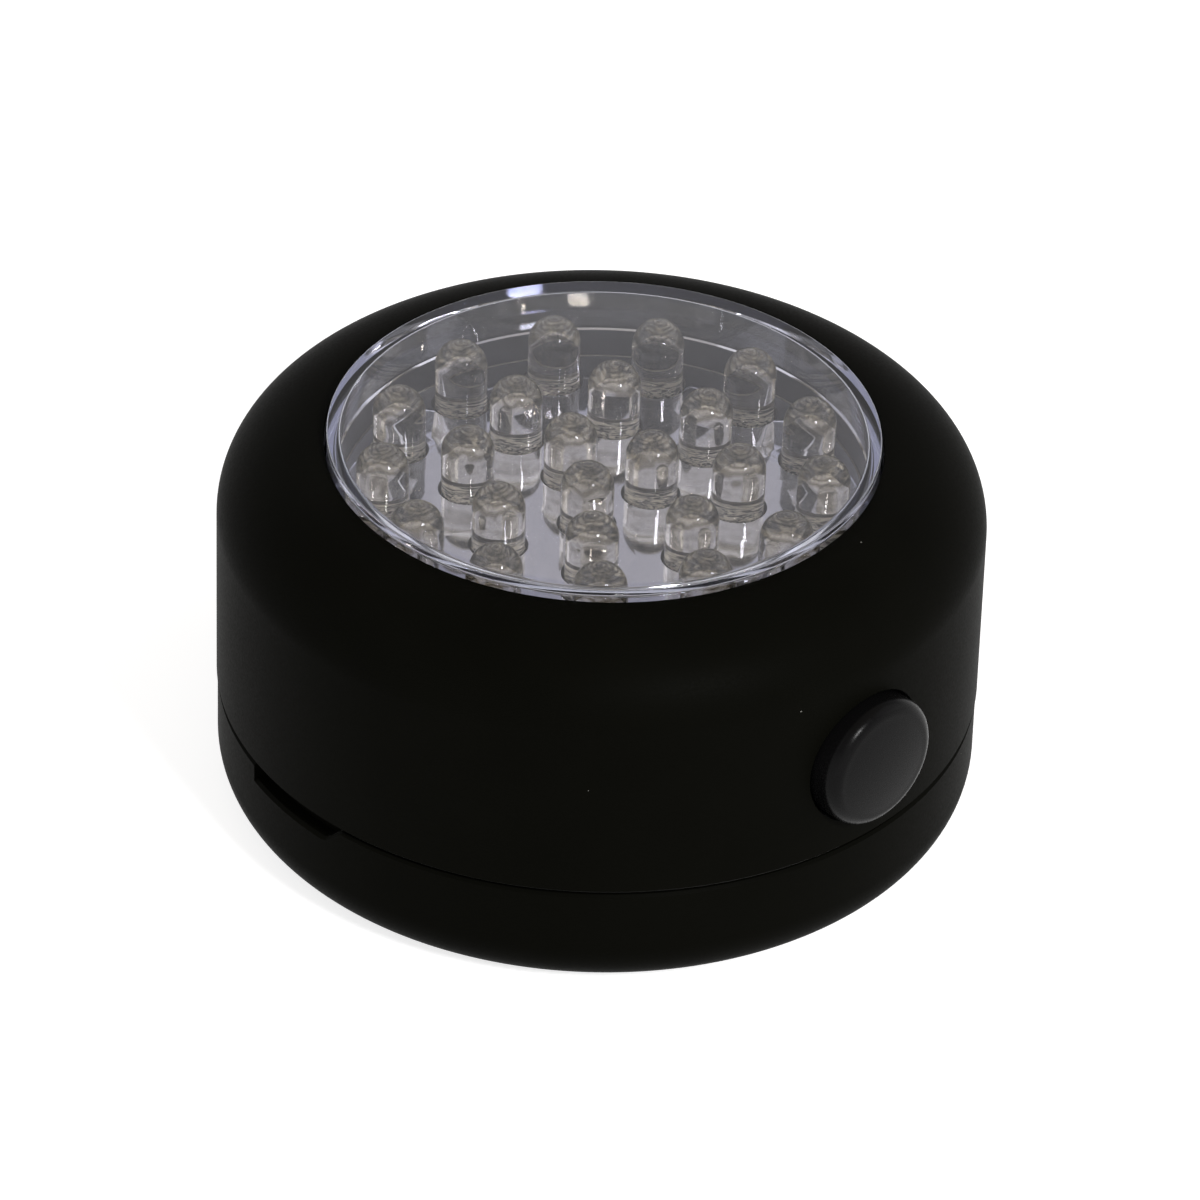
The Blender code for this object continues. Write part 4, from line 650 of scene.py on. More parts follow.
clear_plastic, tree = new_material("polystyrene_clear_moulded")
where = add_node(tree, "ShaderNodeTexCoord").outputs["Object"]
waves = add_node(tree, "ShaderNodeTexNoise", {"Vector": where, "Scale": 1 / (9.0 * MM), "Detail": 1.0})
relief = add_node(tree, "ShaderNodeBump",
                  {"Height": waves.outputs["Fac"], "Strength": 0.05, "Distance": 0.05 * MM})
flat_place = add_node(tree, "ShaderNodeVectorMath", {0: where, 1: (1.0, 1.0, 0.0)}, operation="MULTIPLY")
off_axis = add_node(tree, "ShaderNodeVectorMath", {0: flat_place.outputs["Vector"]}, operation="LENGTH")
misty = add_node(tree, "ShaderNodeMapRange", {
    "Value": off_axis.outputs["Value"], "From Min": MIST_BEGINS * MM, "From Max": MIST_COMPLETE * MM,
    "To Min": 0.0, "To Max": MIST_ROUGHNESS,
})
lilac = add_node(tree, "ShaderNodeMapRange", {
    "Value": off_axis.outputs["Value"], "From Min": LILAC_BEGINS * MM, "From Max": LILAC_COMPLETE * MM,
})
tone = add_node(tree, "ShaderNodeMix",
                {0: lilac.outputs["Result"], 6: linear("#F4F4F9"), 7: linear("#DCDFF0")}, data_type="RGBA")
close_material(tree, {
    "Base Color": tone.outputs[2], "Roughness": misty.outputs["Result"], "Normal": relief.outputs["Normal"],
    "IOR": 1.59, "Transmission Weight": 1.0,
})

outline = [(0.0, LENS_TOP)] + arc((LENS_RADIUS - LENS_EDGE, LENS_TOP - LENS_EDGE), LENS_EDGE, 90, 0, 8)
outline += [(LENS_RADIUS, FLANGE_TOP), (FLANGE_RADIUS, FLANGE_TOP), (FLANGE_RADIUS, FLANGE_UNDER),
            (SKIRT_FOOT, FLANGE_UNDER)]
outline += arc((SKIRT_INNER - SKIRT_FILLET, PLATE_UNDER - SKIRT_FILLET), SKIRT_FILLET, 0, 90, 6)
outline += [(0.0, PLATE_UNDER)]
lens = shape("window_lens", lathe(outline, FINE), clear_plastic)
dress(lens, "housing", "clear_window", "lens_cover")

# %% [markdown]
# ## The mirror
# The reflector is a shallow pan of grey ABS, coated with aluminium vapour on its floor and on the land under
# the lens. The bright coat is a metal and nearly a true mirror, and on the land it lights the skirt of the
# lens from below. The wall between them is masked and painted dark, so the far side of the mirror shows a
# dark zone, as in the photograph. The bare plastic shows on the walls of the holes.

# %% Mirror coat, bare plastic and dark paint
mirror_coat, tree = new_material("aluminium_vapour_coat")
where = add_node(tree, "ShaderNodeTexCoord").outputs["Object"]
waves = add_node(tree, "ShaderNodeTexNoise", {"Vector": where, "Scale": 1 / (3.5 * MM), "Detail": 2.0})
relief = add_node(tree, "ShaderNodeBump",
                  {"Height": waves.outputs["Fac"], "Strength": 0.10, "Distance": 0.02 * MM})
close_material(tree, {
    "Base Color": linear("#E6E5E7"), "Metallic": 1.0, "Roughness": 0.06, "Normal": relief.outputs["Normal"],
})
bare_abs = speckled("grey_abs_uncoated", "#7E7A6E", "#97938A", 0.4, 0.5)
rim_paint = speckled("dark_masked_rim", "#25262C", "#33343C", 0.6, 0.35)

# %% Where the lamps stand
RINGS = ((4.5, 132.3, 3), (12.35, 131.3, 8), (20.1, 104.1, 13))
LAMP_RADIUS, LAMP_TOP, HOLE_RADIUS = 2.44, 36.0, 2.74
MIRROR_HEIGHT, MIRROR_UNDER = 29.4, 28.3

places = [beside(radius, start + 360 * step / count)
          for radius, start, count in RINGS for step in range(count)]
print("lamps:", len(places))

# %% Reflector
(_, _, PAN_FOOT), (PAN_RADIUS, _, PAN_TOP) = corners("reflector")
PAN_INNER, MIRROR_RADIUS, MIRROR_CORNER, RIM_RADIUS, RIM_EDGE = 25.8, 24.1, 0.15, 24.15, 0.15
LAND_ABOVE, PAINT_ABOVE, BARE_ABOVE = 32.2, MIRROR_HEIGHT + 0.10, MIRROR_HEIGHT + 0.002

outline = [(0.0, MIRROR_HEIGHT)]
outline += arc((MIRROR_RADIUS - MIRROR_CORNER, MIRROR_HEIGHT + MIRROR_CORNER), MIRROR_CORNER, -90, -5, 5)
outline += [(RIM_RADIUS, PAN_TOP - RIM_EDGE), (RIM_RADIUS + RIM_EDGE, PAN_TOP), (PAN_RADIUS, PAN_TOP),
            (PAN_RADIUS, PAN_FOOT), (PAN_INNER, PAN_FOOT), (PAN_INNER, MIRROR_UNDER), (0.0, MIRROR_UNDER)]
reflector = shape("mirror_pan", lathe(outline, FINE), mirror_coat, bare_abs, rim_paint)
holes = [moved(rod(HOLE_RADIUS, MIRROR_UNDER - OVERCUT, MIRROR_HEIGHT + OVERCUT), place) for place in places]
carve(reflector, gathered(holes))
for face in reflector.data.polygons:
    height = face.center.z / MM
    if height > LAND_ABOVE:
        face.material_index = 0
    elif height > PAINT_ABOVE:
        face.material_index = 2
    elif height > BARE_ABOVE:
        face.material_index = 1
    else:
        face.material_index = 0 if face.normal.z > 0.1 else 1
dress(reflector, "housing", "mirror_coat", "reflector")

# %% [markdown]
# ## The lamps
# Each lamp is a 5 mm light-emitting diode: a low leadframe of plated steel, cast into clear epoxy with a
# domed top. In the photograph nothing stands in the clear part above the mirror, so the cup with its drop of
# phosphor is set low, in the foot. At the mirror's height the clear part ends on the broad feet of the
# leadframe, clouded by brown flux. Where the flux is thin the tinned steel glints, and through the dome the
# whole layer reads olive-brown. The casting mould leaves fine rings on the dome, about 0.4 mm apart, as
# relief. Along these rings the epoxy's colour on the dome is also painted darker brown and pale by turns.
# This is painted shade and light for what the dome shows by bending the view, and it makes the dome browner.

# %% Epoxy and flux
RING_SPACING = 0.42

epoxy, tree = new_material("epoxy_cast_clear")
where = add_node(tree, "ShaderNodeTexCoord").outputs["Object"]
drift = add_node(tree, "ShaderNodeTexNoise", {"Vector": where, "Scale": 1 / (1.5 * MM), "Detail": 1.0})
drift = add_node(tree, "ShaderNodeMath", {0: drift.outputs["Fac"], 1: 12.0}, operation="MULTIPLY")
ring = add_node(tree, "ShaderNodeAttribute", attribute_name="dome_radius")
wave = add_node(tree, "ShaderNodeMath", {
    0: ring.outputs["Fac"], 1: math.tau / (RING_SPACING * MM), 2: drift.outputs["Value"],
}, operation="MULTIPLY_ADD")
wave = add_node(tree, "ShaderNodeMath", {0: wave.outputs["Value"]}, operation="SINE")
relief = add_node(tree, "ShaderNodeBump",
                  {"Height": wave.outputs["Value"], "Strength": 0.3, "Distance": 0.001 * MM})
# Painted shade: on the dome the ring wave darkens the clear epoxy's colour towards brown, in lines, standing in
# for the view the dome bends
on_dome = add_node(tree, "ShaderNodeAttribute", attribute_name="on_dome")
painted_ring_shade = add_node(tree, "ShaderNodeMapRange", {
    "Value": wave.outputs["Value"], "From Min": -1.0, "From Max": 1.0,
})
painted_ring_shade = add_node(tree, "ShaderNodeMath", {0: painted_ring_shade.outputs["Result"], 1: on_dome.outputs["Fac"]},
                 operation="MULTIPLY")
tone = add_node(tree, "ShaderNodeMix",
                {0: painted_ring_shade.outputs["Value"], 6: linear("#FFFCF2"), 7: linear("#8A8068")}, data_type="RGBA")
close_material(tree, {
    "Base Color": tone.outputs[2], "Roughness": 0.0, "IOR": 1.54, "Transmission Weight": 1.0,
    "Normal": relief.outputs["Normal"],
})

flux, tree = new_material("tinned_steel_under_flux")
where = add_node(tree, "ShaderNodeTexCoord").outputs["Object"]
patches = add_node(tree, "ShaderNodeTexNoise",
                   {"Vector": where, "Scale": 1 / (0.6 * MM), "Detail": 3.0, "Distortion": 1.5})
thin = add_node(tree, "ShaderNodeMapRange",
                {"Value": patches.outputs["Fac"], "From Min": 0.40, "From Max": 0.56})
bare = add_node(tree, "ShaderNodeMapRange",
                {"Value": patches.outputs["Fac"], "From Min": 0.56, "From Max": 0.60})
tone = add_node(tree, "ShaderNodeMix",
                {0: thin.outputs["Result"], 6: linear("#3E382A"), 7: linear("#FFF8E6")}, data_type="RGBA")
close_material(tree, {"Base Color": tone.outputs[2], "Metallic": bare.outputs["Result"], "Roughness": 0.30})
phosphor = speckled("phosphor_in_silicone", "#B0A780", "#C9C096", 0.15, 0.45, detail=2.0)
print("mould rings", RING_SPACING, "mm apart")

# %% One lamp
LAMP_BASE, COLLAR_RADIUS, COLLAR_HEIGHT, COLLAR_EDGE = 26.8, 2.9, 1.0, 0.15
FOOT_TOP, FOOT_GAP = MIRROR_HEIGHT - 0.15, 0.02
LEAD_OUTER, LEAD_INNER, LEAD_HALF, LEAD_END = 1.52, 1.02, 0.25, 24.0
CUP_SHIFT, CUP_FLOOR = -0.30, 27.0
dome_middle = LAMP_TOP - LAMP_RADIUS

collar_top = LAMP_BASE + COLLAR_HEIGHT
foot = lathe([
    (0.0, LAMP_BASE), (COLLAR_RADIUS, LAMP_BASE), (COLLAR_RADIUS, collar_top - COLLAR_EDGE),
    (COLLAR_RADIUS - COLLAR_EDGE, collar_top), (LAMP_RADIUS, collar_top), (LAMP_RADIUS, FOOT_TOP - FOOT_GAP),
    (0.0, FOOT_TOP - FOOT_GAP),
], COARSE)
outline = [(0.0, FOOT_TOP), (LAMP_RADIUS, FOOT_TOP)]
outline += arc((0.0, dome_middle), LAMP_RADIUS, 0, 90, 20)[:-1] + [(0.0, LAMP_TOP)]
lamp_body = shape("lamp_body", gathered((lathe(outline, COARSE), foot)), epoxy)
dome_radius = lamp_body.data.attributes.new("dome_radius", "FLOAT", "POINT")
# on_dome marks the dome, where the painted ring shade darkens the epoxy's colour
on_dome = lamp_body.data.attributes.new("on_dome", "FLOAT", "POINT")
for vertex, distance, share in zip(lamp_body.data.vertices, dome_radius.data, on_dome.data):
    distance.value = Vector(vertex.co[:2]).length
    share.value = 1.0 if vertex.co.z > dome_middle * MM else 0.0
foot_faces = lamp_body.data.attributes.new("foot", "BOOLEAN", "FACE")
for face, value in zip(lamp_body.data.polygons, foot_faces.data):
    value.value = face.center.z < (FOOT_TOP + FOOT_GAP / 2) * MM

lead = (-LEAD_HALF, LEAD_HALF)
lamp_frame = shape("lamp_frame", block((-LEAD_OUTER, -LEAD_INNER), lead, (LEAD_END, 27.1)), tin_on_steel)
carve(lamp_frame, block((LEAD_INNER, LEAD_OUTER), lead, (LEAD_END, 27.3)), "UNION")
carve(lamp_frame, block((-LEAD_OUTER, 0.0), lead, (26.9, 27.1)), "UNION")

drop = lathe([(0.0, 0.0), (0.60, 0.0), (0.60, 0.15), (0.45, 0.28), (0.25, 0.36), (0.0, 0.38)], SMALL)
lamp_drop = shape("lamp_drop", moved(drop, shift(CUP_SHIFT, 0.0, CUP_FLOOR)), phosphor)
print("one lamp:", len(lamp_body.data.polygons), "faces of epoxy")

# %% [markdown]
# ## Pieces made by node trees
# Twenty-four lamps stand in three rings, screws stand on three bosses, and a spring follows a path. Geometry
# Nodes make each of these from a few named inputs. A mesh circle carries the lamps of a ring, and each lamp
# turns with its place. Every tree ends alike: its copies become real, and they get their finish.

# %% Helpers for node trees
def new_tree(name, kinds):
    """Empty geometry tree with named inputs, as (tree, its input sockets, their identifiers)."""
    group = bpy.data.node_groups.new(name, "GeometryNodeTree")
    identifiers = {}
    for title, kind in kinds.items():
        socket = group.interface.new_socket(title, in_out="INPUT", socket_type="NodeSocket" + kind)
        identifiers[title] = socket.identifier
    group.interface.new_socket("Result", in_out="OUTPUT", socket_type="NodeSocketGeometry")
    return group, add_node(group, "NodeGroupInput").outputs, identifiers


def finished(tree, geometry, finish):
    """Make the copies in a geometry real and give them their finish."""
    real = add_node(tree, "GeometryNodeRealizeInstances", {"Geometry": geometry})
    painted = add_node(tree, "GeometryNodeSetMaterial",
                       {"Geometry": real.outputs["Geometry"], "Material": finish})
    return painted.outputs["Geometry"]


def grown(name, tree, identifiers, values, points=None):
    """Plain mesh that a geometry tree makes from its named inputs."""
    piece = new_object(name, points or bpy.data.meshes.new(name))
    modifier = piece.modifiers.new("tree", "NODES")
    modifier.node_group = tree
    for title, value in values.items():
        modifier[identifiers[title]] = value
    bake(piece)
    return piece


# %% Rings of lamps
ring_kinds = {"Lamp": "Object", "Finish": "Material", "Foot finish": "Material"}
ring_values = {}
for number, (radius, start, count) in enumerate(RINGS, start=1):
    ring_kinds |= {f"Radius {number}": "Float", f"Start angle {number}": "Float", f"Count {number}": "Int"}
    ring_values |= {f"Radius {number}": radius * MM, f"Start angle {number}": math.radians(start),
                    f"Count {number}": count}
ring_tree, given, ring_sockets = new_tree("lamps_in_rings", ring_kinds)
lamp_source = add_node(ring_tree, "GeometryNodeObjectInfo", {"Object": given["Lamp"]})
joined = add_node(ring_tree, "GeometryNodeJoinGeometry")
for number in range(len(RINGS), 0, -1):
    circle = add_node(ring_tree, "GeometryNodeMeshCircle",
                      {"Vertices": given[f"Count {number}"], "Radius": given[f"Radius {number}"]})
    turn = add_node(ring_tree, "ShaderNodeCombineXYZ", {"Z": given[f"Start angle {number}"]})
    turned = add_node(ring_tree, "GeometryNodeTransform",
                      {"Geometry": circle.outputs["Mesh"], "Rotation": turn.outputs["Vector"]})
    outward = add_node(ring_tree, "GeometryNodeInputPosition")
    facing = add_node(ring_tree, "FunctionNodeAlignRotationToVector", {"Vector": outward.outputs["Position"]},
                      axis="Y", pivot_axis="Z")
    copies = add_node(ring_tree, "GeometryNodeInstanceOnPoints", {
        "Points": turned.outputs["Geometry"], "Instance": lamp_source.outputs["Geometry"],
        "Rotation": facing.outputs["Rotation"],
    })
    ring_tree.links.new(copies.outputs["Instances"], joined.inputs["Geometry"])
foot = add_node(ring_tree, "GeometryNodeInputNamedAttribute", {"Name": "foot"}, data_type="BOOLEAN")
lamps = add_node(ring_tree, "GeometryNodeSetMaterial", {
    "Geometry": finished(ring_tree, joined.outputs["Geometry"], given["Finish"]),
    "Selection": foot.outputs["Attribute"], "Material": given["Foot finish"],
})
add_node(ring_tree, "NodeGroupOutput", {"Result": lamps.outputs["Geometry"]})

lamp_names = [f"led_{number:02d}" for number in range(1, len(places) + 1)]
for name, source, finish, foot_finish, slot, nodes in (
    ("lamp_bodies", lamp_body, epoxy, flux, "led_epoxy", lamp_names),
    ("lamp_leadframes", lamp_frame, tin_on_steel, tin_on_steel, "plated_steel", ()),
    ("lamp_phosphor", lamp_drop, phosphor, phosphor, "led_epoxy", ()),
):
    values = {"Lamp": source, "Finish": finish, "Foot finish": foot_finish, **ring_values}
    piece = grown(name, ring_tree, ring_sockets, values)
    bpy.data.objects.remove(source)
    dress(piece, "housing", slot, *nodes)

# %% [markdown]
# ## Turntable and magnet
# The turntable is a flat moulded disc that fills the recess of the back. A cup in its middle holds the
# magnet, a rim runs round its edge, and between the two lies the channel where the hook folds away. Two ears
# carry the hinge. The ears are joined on before the pin's hole is drilled through both at once.

# %% Turntable
HINGE_REACH, HINGE_HEIGHT, PIN_HOLE = -18.25, 1.95, 0.9
CHANNEL_ROOF, DISC_TOP, CUP_INNER, CUP_OUTER = 3.9, 5.3, 9.3, 10.4
(_, _, DISC_FOOT), (DISC_RADIUS, _, HUB_TOP) = corners("hook_turntable")
RIM_INNER, HUB_RADIUS, SCREW_HOLE, SCREW_HOLE_FOOT = 21.2, 4.0, 1.2, 4.4
EAR_INNER, EAR_OUTER, EAR_TOP = 4.3, 6.3, 4.2
HINGE = shift(0.0, HINGE_REACH, HINGE_HEIGHT) @ rotation(90, "Y")

outline = [(0.0, CHANNEL_ROOF), (CUP_INNER, CHANNEL_ROOF), (CUP_INNER, 0.55)]
outline += arc((CUP_INNER + 0.2, 0.6), 0.2, 180, 270, 4) + arc((CUP_OUTER - 0.2, 0.6), 0.2, -90, 0, 4)
outline += [(CUP_OUTER, 3.5)] + arc((CUP_OUTER + 0.4, 3.5), 0.4, 180, 90, 4)
outline += [(RIM_INNER - 0.4, CHANNEL_ROOF)] + arc((RIM_INNER - 0.4, 3.5), 0.4, 80, 0, 4)
outline += arc((RIM_INNER + 0.3, DISC_FOOT + 0.3), 0.3, 180, 270, 5)
outline += arc((DISC_RADIUS - 0.3, DISC_FOOT + 0.3), 0.3, -90, 0, 5)
outline += arc((DISC_RADIUS - 0.3, DISC_TOP - 0.3), 0.3, 0, 90, 4)
outline += [(HUB_RADIUS, DISC_TOP), (HUB_RADIUS, HUB_TOP - 0.1), (HUB_RADIUS - 0.1, HUB_TOP),
            (SCREW_HOLE, HUB_TOP), (SCREW_HOLE, SCREW_HOLE_FOOT), (0.0, SCREW_HOLE_FOOT)]
turntable = shape("hook_turntable_disc", lathe(outline, FINE), satin_abs)
for across in ((-EAR_OUTER, -EAR_INNER), (EAR_INNER, EAR_OUTER)):
    carve(turntable, block(across, (-20.05, -16.45), (DISC_FOOT, EAR_TOP)), "UNION")
carve(turntable, block((-EAR_OUTER, EAR_OUTER), (-21.3, -20.2), (DISC_FOOT, EAR_TOP)), "UNION")
carve(turntable, moved(rod(PIN_HOLE, -7.0, 7.0, SMALL), HINGE))
dress(turntable, "swivel", "satin_black", "hook_turntable")

# %% Magnet
_, (MAGNET_RADIUS, _, MAGNET_TOP) = corners("magnet")
outline = [(0.0, 0.0)] + arc((MAGNET_RADIUS - 0.4, 0.4), 0.4, -90, 0, 6)
outline += arc((MAGNET_RADIUS - 0.2, MAGNET_TOP - 0.2), 0.2, 0, 90, 3) + [(0.0, MAGNET_TOP)]
magnet = shape("round_magnet", lathe(outline, MEDIUM), nickel_on_magnet)
dress(magnet, "swivel", "magnet_nickel", "magnet")

# %% [markdown]
# ## Hook and pin
# The hook is an open ring that lies round the magnet when it is folded and swings out on its pin. It is
# moulded, so every edge that a hand meets is round. A flat outline with round ends is drawn out to the full
# thickness, then only the edges of its two faces are bevelled, which a Bevel modifier could not tell apart
# from the upright ones. The knuckle is joined on and drilled.

# %% Hook
HOOK_MIDDLE, HOOK_HALF, HOOK_END, HOOK_UNDER, HOOK_TOP, HOOK_ROUND = 14.5, 2.1, 206, 0.5, 3.6, 0.8
KNUCKLE, KNUCKLE_HALF, KNUCKLE_EDGE, SHANK_TOP = 1.65, 4.0, 0.2, -16.6

outline = [(-KNUCKLE_HALF, HINGE_REACH), (KNUCKLE_HALF, HINGE_REACH), (KNUCKLE_HALF, SHANK_TOP)]
outline += arc((0.0, 0.0), HOOK_MIDDLE + HOOK_HALF, -77.35, HOOK_END, 96)
tip = [HOOK_MIDDLE * function(math.radians(HOOK_END)) for function in (math.cos, math.sin)]
outline += arc(tip, HOOK_HALF, HOOK_END, HOOK_END + 180, 16)[1:-1]
outline += arc((0.0, 0.0), HOOK_MIDDLE - HOOK_HALF, HOOK_END, -90, 96)
outline += arc((0.0, -HOOK_MIDDLE), HOOK_HALF, 90, 180, 8)[1:] + [(-KNUCKLE_HALF, SHANK_TOP)]
flat_hook = prism(outline, HOOK_UNDER, HOOK_TOP)
rims = [edge for edge in flat_hook.edges if abs(edge.verts[0].co.z - edge.verts[1].co.z) < 1e-7]
bmesh.ops.bevel(flat_hook, geom=rims, offset=HOOK_ROUND * MM, segments=5, profile=0.5, affect="EDGES",
                clamp_overlap=True)
hook = shape("folding_hook", flat_hook, satin_abs)
knuckle = turned_bar(KNUCKLE, -KNUCKLE_HALF, KNUCKLE_HALF, KNUCKLE_EDGE, COARSE)
carve(hook, moved(knuckle, HINGE), "UNION")
carve(hook, moved(rod(PIN_HOLE, -5.0, 5.0, SMALL), HINGE))
dress(hook, "hook", "satin_black", "hanging_hook")

# %% Hinge pin
PIN_RADIUS, PIN_HALF, PIN_EDGE = 0.6, 6.5, 0.15
bar = turned_bar(PIN_RADIUS, -PIN_HALF, PIN_HALF, PIN_EDGE, SMALL)
pin = shape("hinge_pin", moved(bar, HINGE), nickel_on_steel)
dress(pin, "swivel", "plated_steel", "hook_pin")

# %% [markdown]
# ## Screws and washer
# The tray hangs on three pan-head screws, and a fourth holds the turntable with a wide washer. All four are
# one shape: a domed head with a cross recess and a thread that cuts its own way. The three of the tray stand
# at uneven angles, so a node tree sets copies on the points of a small mesh instead of on a circle.

# %% One screw
HEAD_RADIUS, HEAD_DOME, SHANK_RADIUS, THREAD_DEPTH, THREAD_PITCH = 2.0, 0.45, 0.9, 0.22, 0.6
THREAD_STOP, TIP_LENGTH, TIP_RADIUS = 0.9, 0.6, 0.3
CROSS_HALF, CROSS_LENGTH, CROSS_DEPTH, CROSS_TURN = 0.2, 2.3, 0.75, 20


def screw(name, head_height, length):
    """Pan-head screw along Z: the head hangs below 0, the shank rises to its length."""
    turns = [math.radians(degrees) for degrees in (20, 40, 60, 75, 90)]
    outline = [(0.0, -head_height)]
    outline += [(HEAD_RADIUS * math.sin(turn), -head_height + HEAD_DOME * (1 - math.cos(turn)))
                for turn in turns]
    outline += [(HEAD_RADIUS, 0.0), (SHANK_RADIUS, 0.0)]
    height = THREAD_PITCH / 2
    while height < length - THREAD_STOP:
        outline += [(SHANK_RADIUS - THREAD_DEPTH, height), (SHANK_RADIUS, height + THREAD_PITCH / 2)]
        height += THREAD_PITCH
    outline += [(SHANK_RADIUS - 0.2, length - TIP_LENGTH), (TIP_RADIUS, length), (0.0, length)]
    piece = shape(name, lathe(outline, 32), nickel_on_steel)
    for turn in (0, 90):
        slot = block((-CROSS_HALF, CROSS_HALF), (-CROSS_LENGTH / 2, CROSS_LENGTH / 2),
                     (-head_height - 0.5, -head_height + CROSS_DEPTH))
        carve(piece, moved(slot, rotation(turn + CROSS_TURN)))
    return piece


# %% Screws of the tray
point_tree, given, point_sockets = new_tree(
    "copies_on_points", {"Points": "Geometry", "Piece": "Object", "Finish": "Material"})
source = add_node(point_tree, "GeometryNodeObjectInfo", {"Object": given["Piece"]})
copies = add_node(point_tree, "GeometryNodeInstanceOnPoints",
                  {"Points": given["Points"], "Instance": source.outputs["Geometry"]})
screws = finished(point_tree, copies.outputs["Instances"], given["Finish"])
add_node(point_tree, "NodeGroupOutput", {"Result": screws})

TRAY_SCREW_HEIGHT = 20.4
tray_screw = screw("tray_screw", 1.3, 6.0)
points = bpy.data.meshes.new("tray_screws")
seats = [beside(BOSS_PLACE, degrees, TRAY_SCREW_HEIGHT).to_translation() for degrees in BOSS_ANGLES]
points.from_pydata(seats, [], [])
values = {"Piece": tray_screw, "Finish": nickel_on_steel}
tray_screws = grown("tray_screws", point_tree, point_sockets, values, points)
bpy.data.objects.remove(tray_screw)
dress(tray_screws, "housing", "plated_steel", "tray_screw_1", "tray_screw_2", "tray_screw_3")

# %% Turntable screw and washer
PIVOT_SEAT, WASHER_EDGE = 8.5, 0.1
pivot_screw = screw("pivot_screw", 1.1, 3.8)
pivot_screw.data.transform(shift(0.0, 0.0, PIVOT_SEAT) @ rotation(180, "X"))
dress(pivot_screw, "swivel", "plated_steel", "turntable_screw")

(_, _, WASHER_UNDER), (WASHER_RADIUS, _, WASHER_TOP) = corners("turntable_washer")
bar = turned_bar(WASHER_RADIUS, WASHER_UNDER, WASHER_TOP, WASHER_EDGE, MEDIUM, SCREW_HOLE)
washer = shape("pivot_washer", bar, nickel_on_steel)
dress(washer, "swivel", "plated_steel", "turntable_washer")

# %% [markdown]
# ## Cells and springs
# Three small round cells lie side by side behind the board. Each is a steel can in a shrunk PVC sleeve,
# which folds a little way over both ends and is left plain here. Each presses on a conical spring: a node
# tree draws a round wire along a spiral.

# %% Three cells
CELL_LANES = ((12.0, 1), (0.0, -1), (-12.0, 1))
CELL_HEIGHT, CELL_START, CELL_RADIUS, CELL_LENGTH = 15.15, -20.4, 5.25, 43.5
SLEEVE_OPENING, NIPPLE_RADIUS, NIPPLE_LENGTH = 4.15, 1.9, 1.0


def in_bay(lane, facing, start):
    """Place of a piece that lies in a lane of the battery bay and points along it."""
    return BAY_TURN @ shift(facing * start, lane, CELL_HEIGHT) @ rotation(facing * 90, "Y")


sleeve = speckled("pvc_shrunk_sleeve", "#1C3A63", "#264872", 4.0, 0.28, detail=2.0, depth=0.05)
outline = [(0.0, 0.0), (3.9, 0.0), (4.1, 0.15), (4.7, 0.1)]
outline += arc((CELL_RADIUS - 0.5, 0.5), (0.5, 0.4), -90, 0, 5) + [(CELL_RADIUS, CELL_LENGTH - 0.5)]
outline += arc((CELL_RADIUS - 0.5, CELL_LENGTH - 0.5), 0.5, 0, 90, 5)[1:]
outline += [(4.3, CELL_LENGTH - 0.05), (4.2, CELL_LENGTH - 0.2), (NIPPLE_RADIUS + 0.2, CELL_LENGTH - 0.2),
            (NIPPLE_RADIUS, CELL_LENGTH), (NIPPLE_RADIUS, CELL_LENGTH + NIPPLE_LENGTH - 0.2),
            (NIPPLE_RADIUS - 0.2, CELL_LENGTH + NIPPLE_LENGTH), (0.0, CELL_LENGTH + NIPPLE_LENGTH)]
for number, (lane, facing) in enumerate(CELL_LANES, start=1):
    cell = shape(f"small_cell_{number}", lathe(outline, COARSE), sleeve, nickel_on_steel)
    for face in cell.data.polygons:
        face.material_index = 1 if Vector(face.center[:2]).length < SLEEVE_OPENING * MM else 0
    cell.data.transform(in_bay(lane, facing, CELL_START))
    dress(cell, "housing", "cell_sleeve", f"battery_cell_{number}")

# %% Three springs
SPRING = {"Turns": 3.0, "Wide radius": 3.1 * MM, "Narrow radius": 1.8 * MM, "Height": 2.9 * MM,
          "Wire radius": 0.25 * MM}
SPRING_START = -23.85

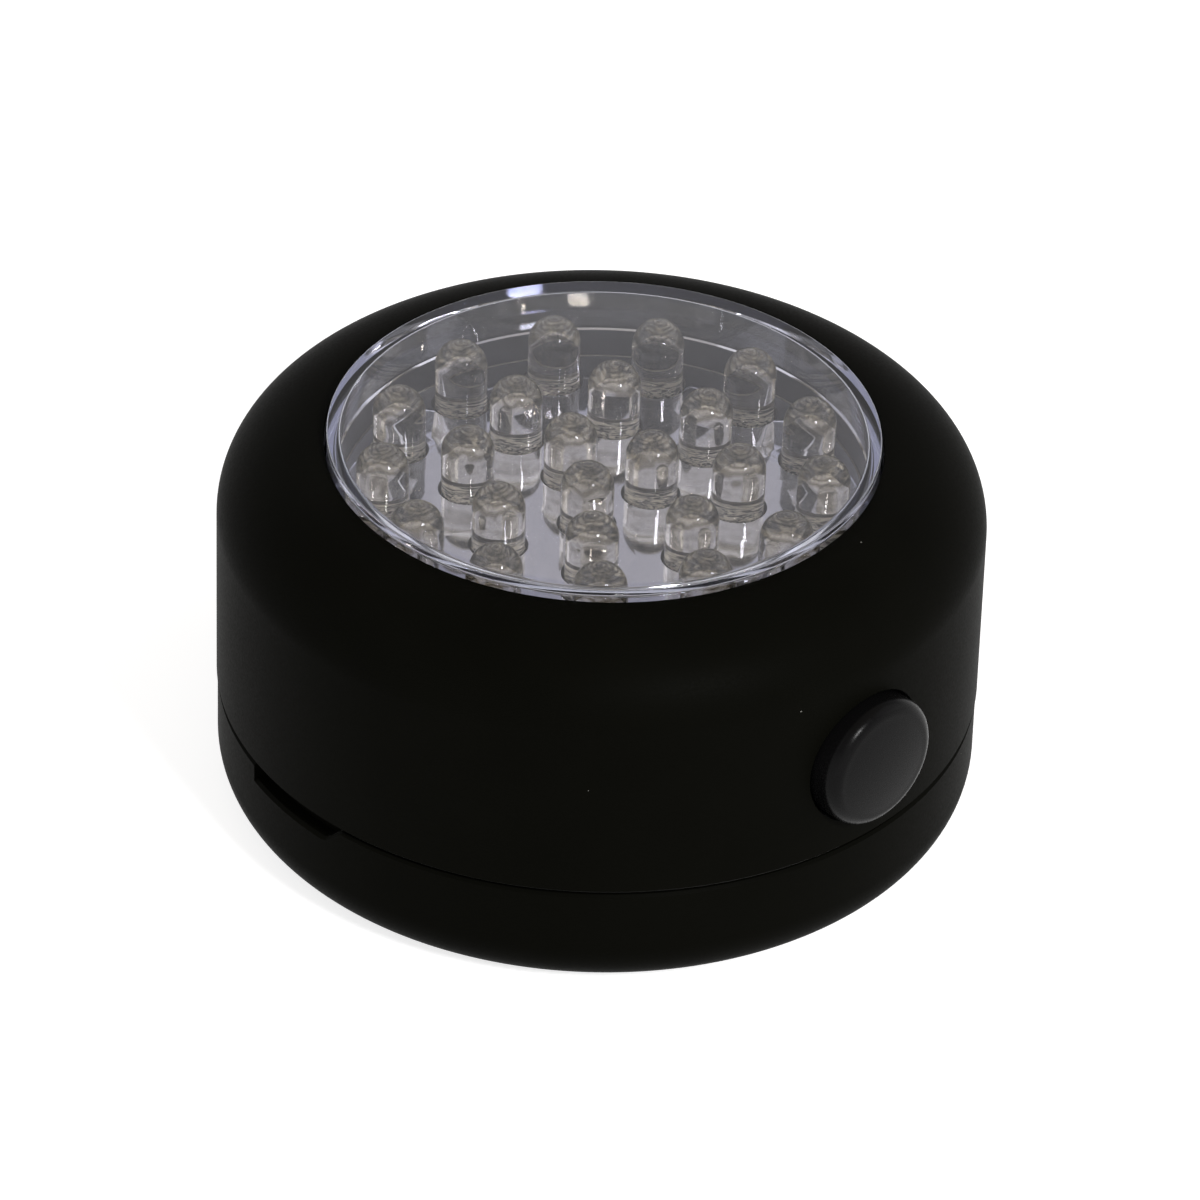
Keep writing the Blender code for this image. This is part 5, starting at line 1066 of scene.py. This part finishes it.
spring_kinds = {**dict.fromkeys(SPRING, "Float"), "Finish": "Material"}
spring_tree, given, spring_sockets = new_tree("conical_spring", spring_kinds)
coil = add_node(spring_tree, "GeometryNodeCurveSpiral", {
    "Resolution": 40, "Rotations": given["Turns"], "Start Radius": given["Wide radius"],
    "End Radius": given["Narrow radius"], "Height": given["Height"],
})
wire = add_node(spring_tree, "GeometryNodeCurvePrimitiveCircle",
                {"Resolution": 12, "Radius": given["Wire radius"]})
drawn = add_node(spring_tree, "GeometryNodeCurveToMesh",
                 {"Curve": coil.outputs["Curve"], "Profile Curve": wire.outputs["Curve"], "Fill Caps": True})
spring = finished(spring_tree, drawn.outputs["Mesh"], given["Finish"])
add_node(spring_tree, "NodeGroupOutput", {"Result": spring})
for number, (lane, facing) in enumerate(CELL_LANES, start=1):
    values = {"Finish": nickel_on_steel, **SPRING}
    spring = grown(f"cell_spring_{number}", spring_tree, spring_sockets, values)
    spring.data.transform(in_bay(lane, facing, SPRING_START))
    dress(spring, "housing", "plated_steel", f"contact_spring_{number}")

# %% [markdown]
# ## Finishes of the hidden pieces
# The board, the tray, the contacts, the switch, the resistor and the wires have their right shapes in the
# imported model, and they show only when the back is off. They stay as they are, and each gets the finish of
# its own material. The board is phenolic paper, which cheap lamps use: brown, with a fine paper grain.

# %% Finishes of hidden plastics, wires and contacts
FINISHES = (
    (speckled("phenolic_paper_board", "#8B7750", "#A8926A", 0.8, 0.45, detail=4.0), ("led_board",)),
    (speckled("black_abs_spark_textured", "#141415", "#202021", 0.3, 0.45, depth=0.02), ("battery_tray",)),
    (speckled("black_nylon_moulded", "#1A1A1A", "#262626", 0.5, 0.40, depth=0.02), ("switch_body",)),
    (speckled("white_acetal_moulded", "#D8D6CF", "#E6E4DE", 0.8, 0.35, depth=0.02), ("switch_plunger",)),
    (speckled("tan_lacquer_dipped", "#A98458", "#C29D6E", 0.4, 0.40, depth=0.02), ("resistor",)),
    (speckled("red_pvc_extruded", "#A81E17", "#BC2A20", 1.0, 0.40, depth=0.02),
     ("wire_positive", "wire_switch")),
    (speckled("black_pvc_extruded", "#161616", "#222222", 1.0, 0.40, depth=0.02), ("wire_negative",)),
    (nickel_on_steel, ("positive_contact", "negative_contact", "bridge_contact_1", "bridge_contact_2")),
)
for material, names in FINISHES:
    for name in names:
        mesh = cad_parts[name].data
        for number in range(len(mesh.materials)):
            mesh.materials[number] = material
    print(material.name, "on", ", ".join(names))
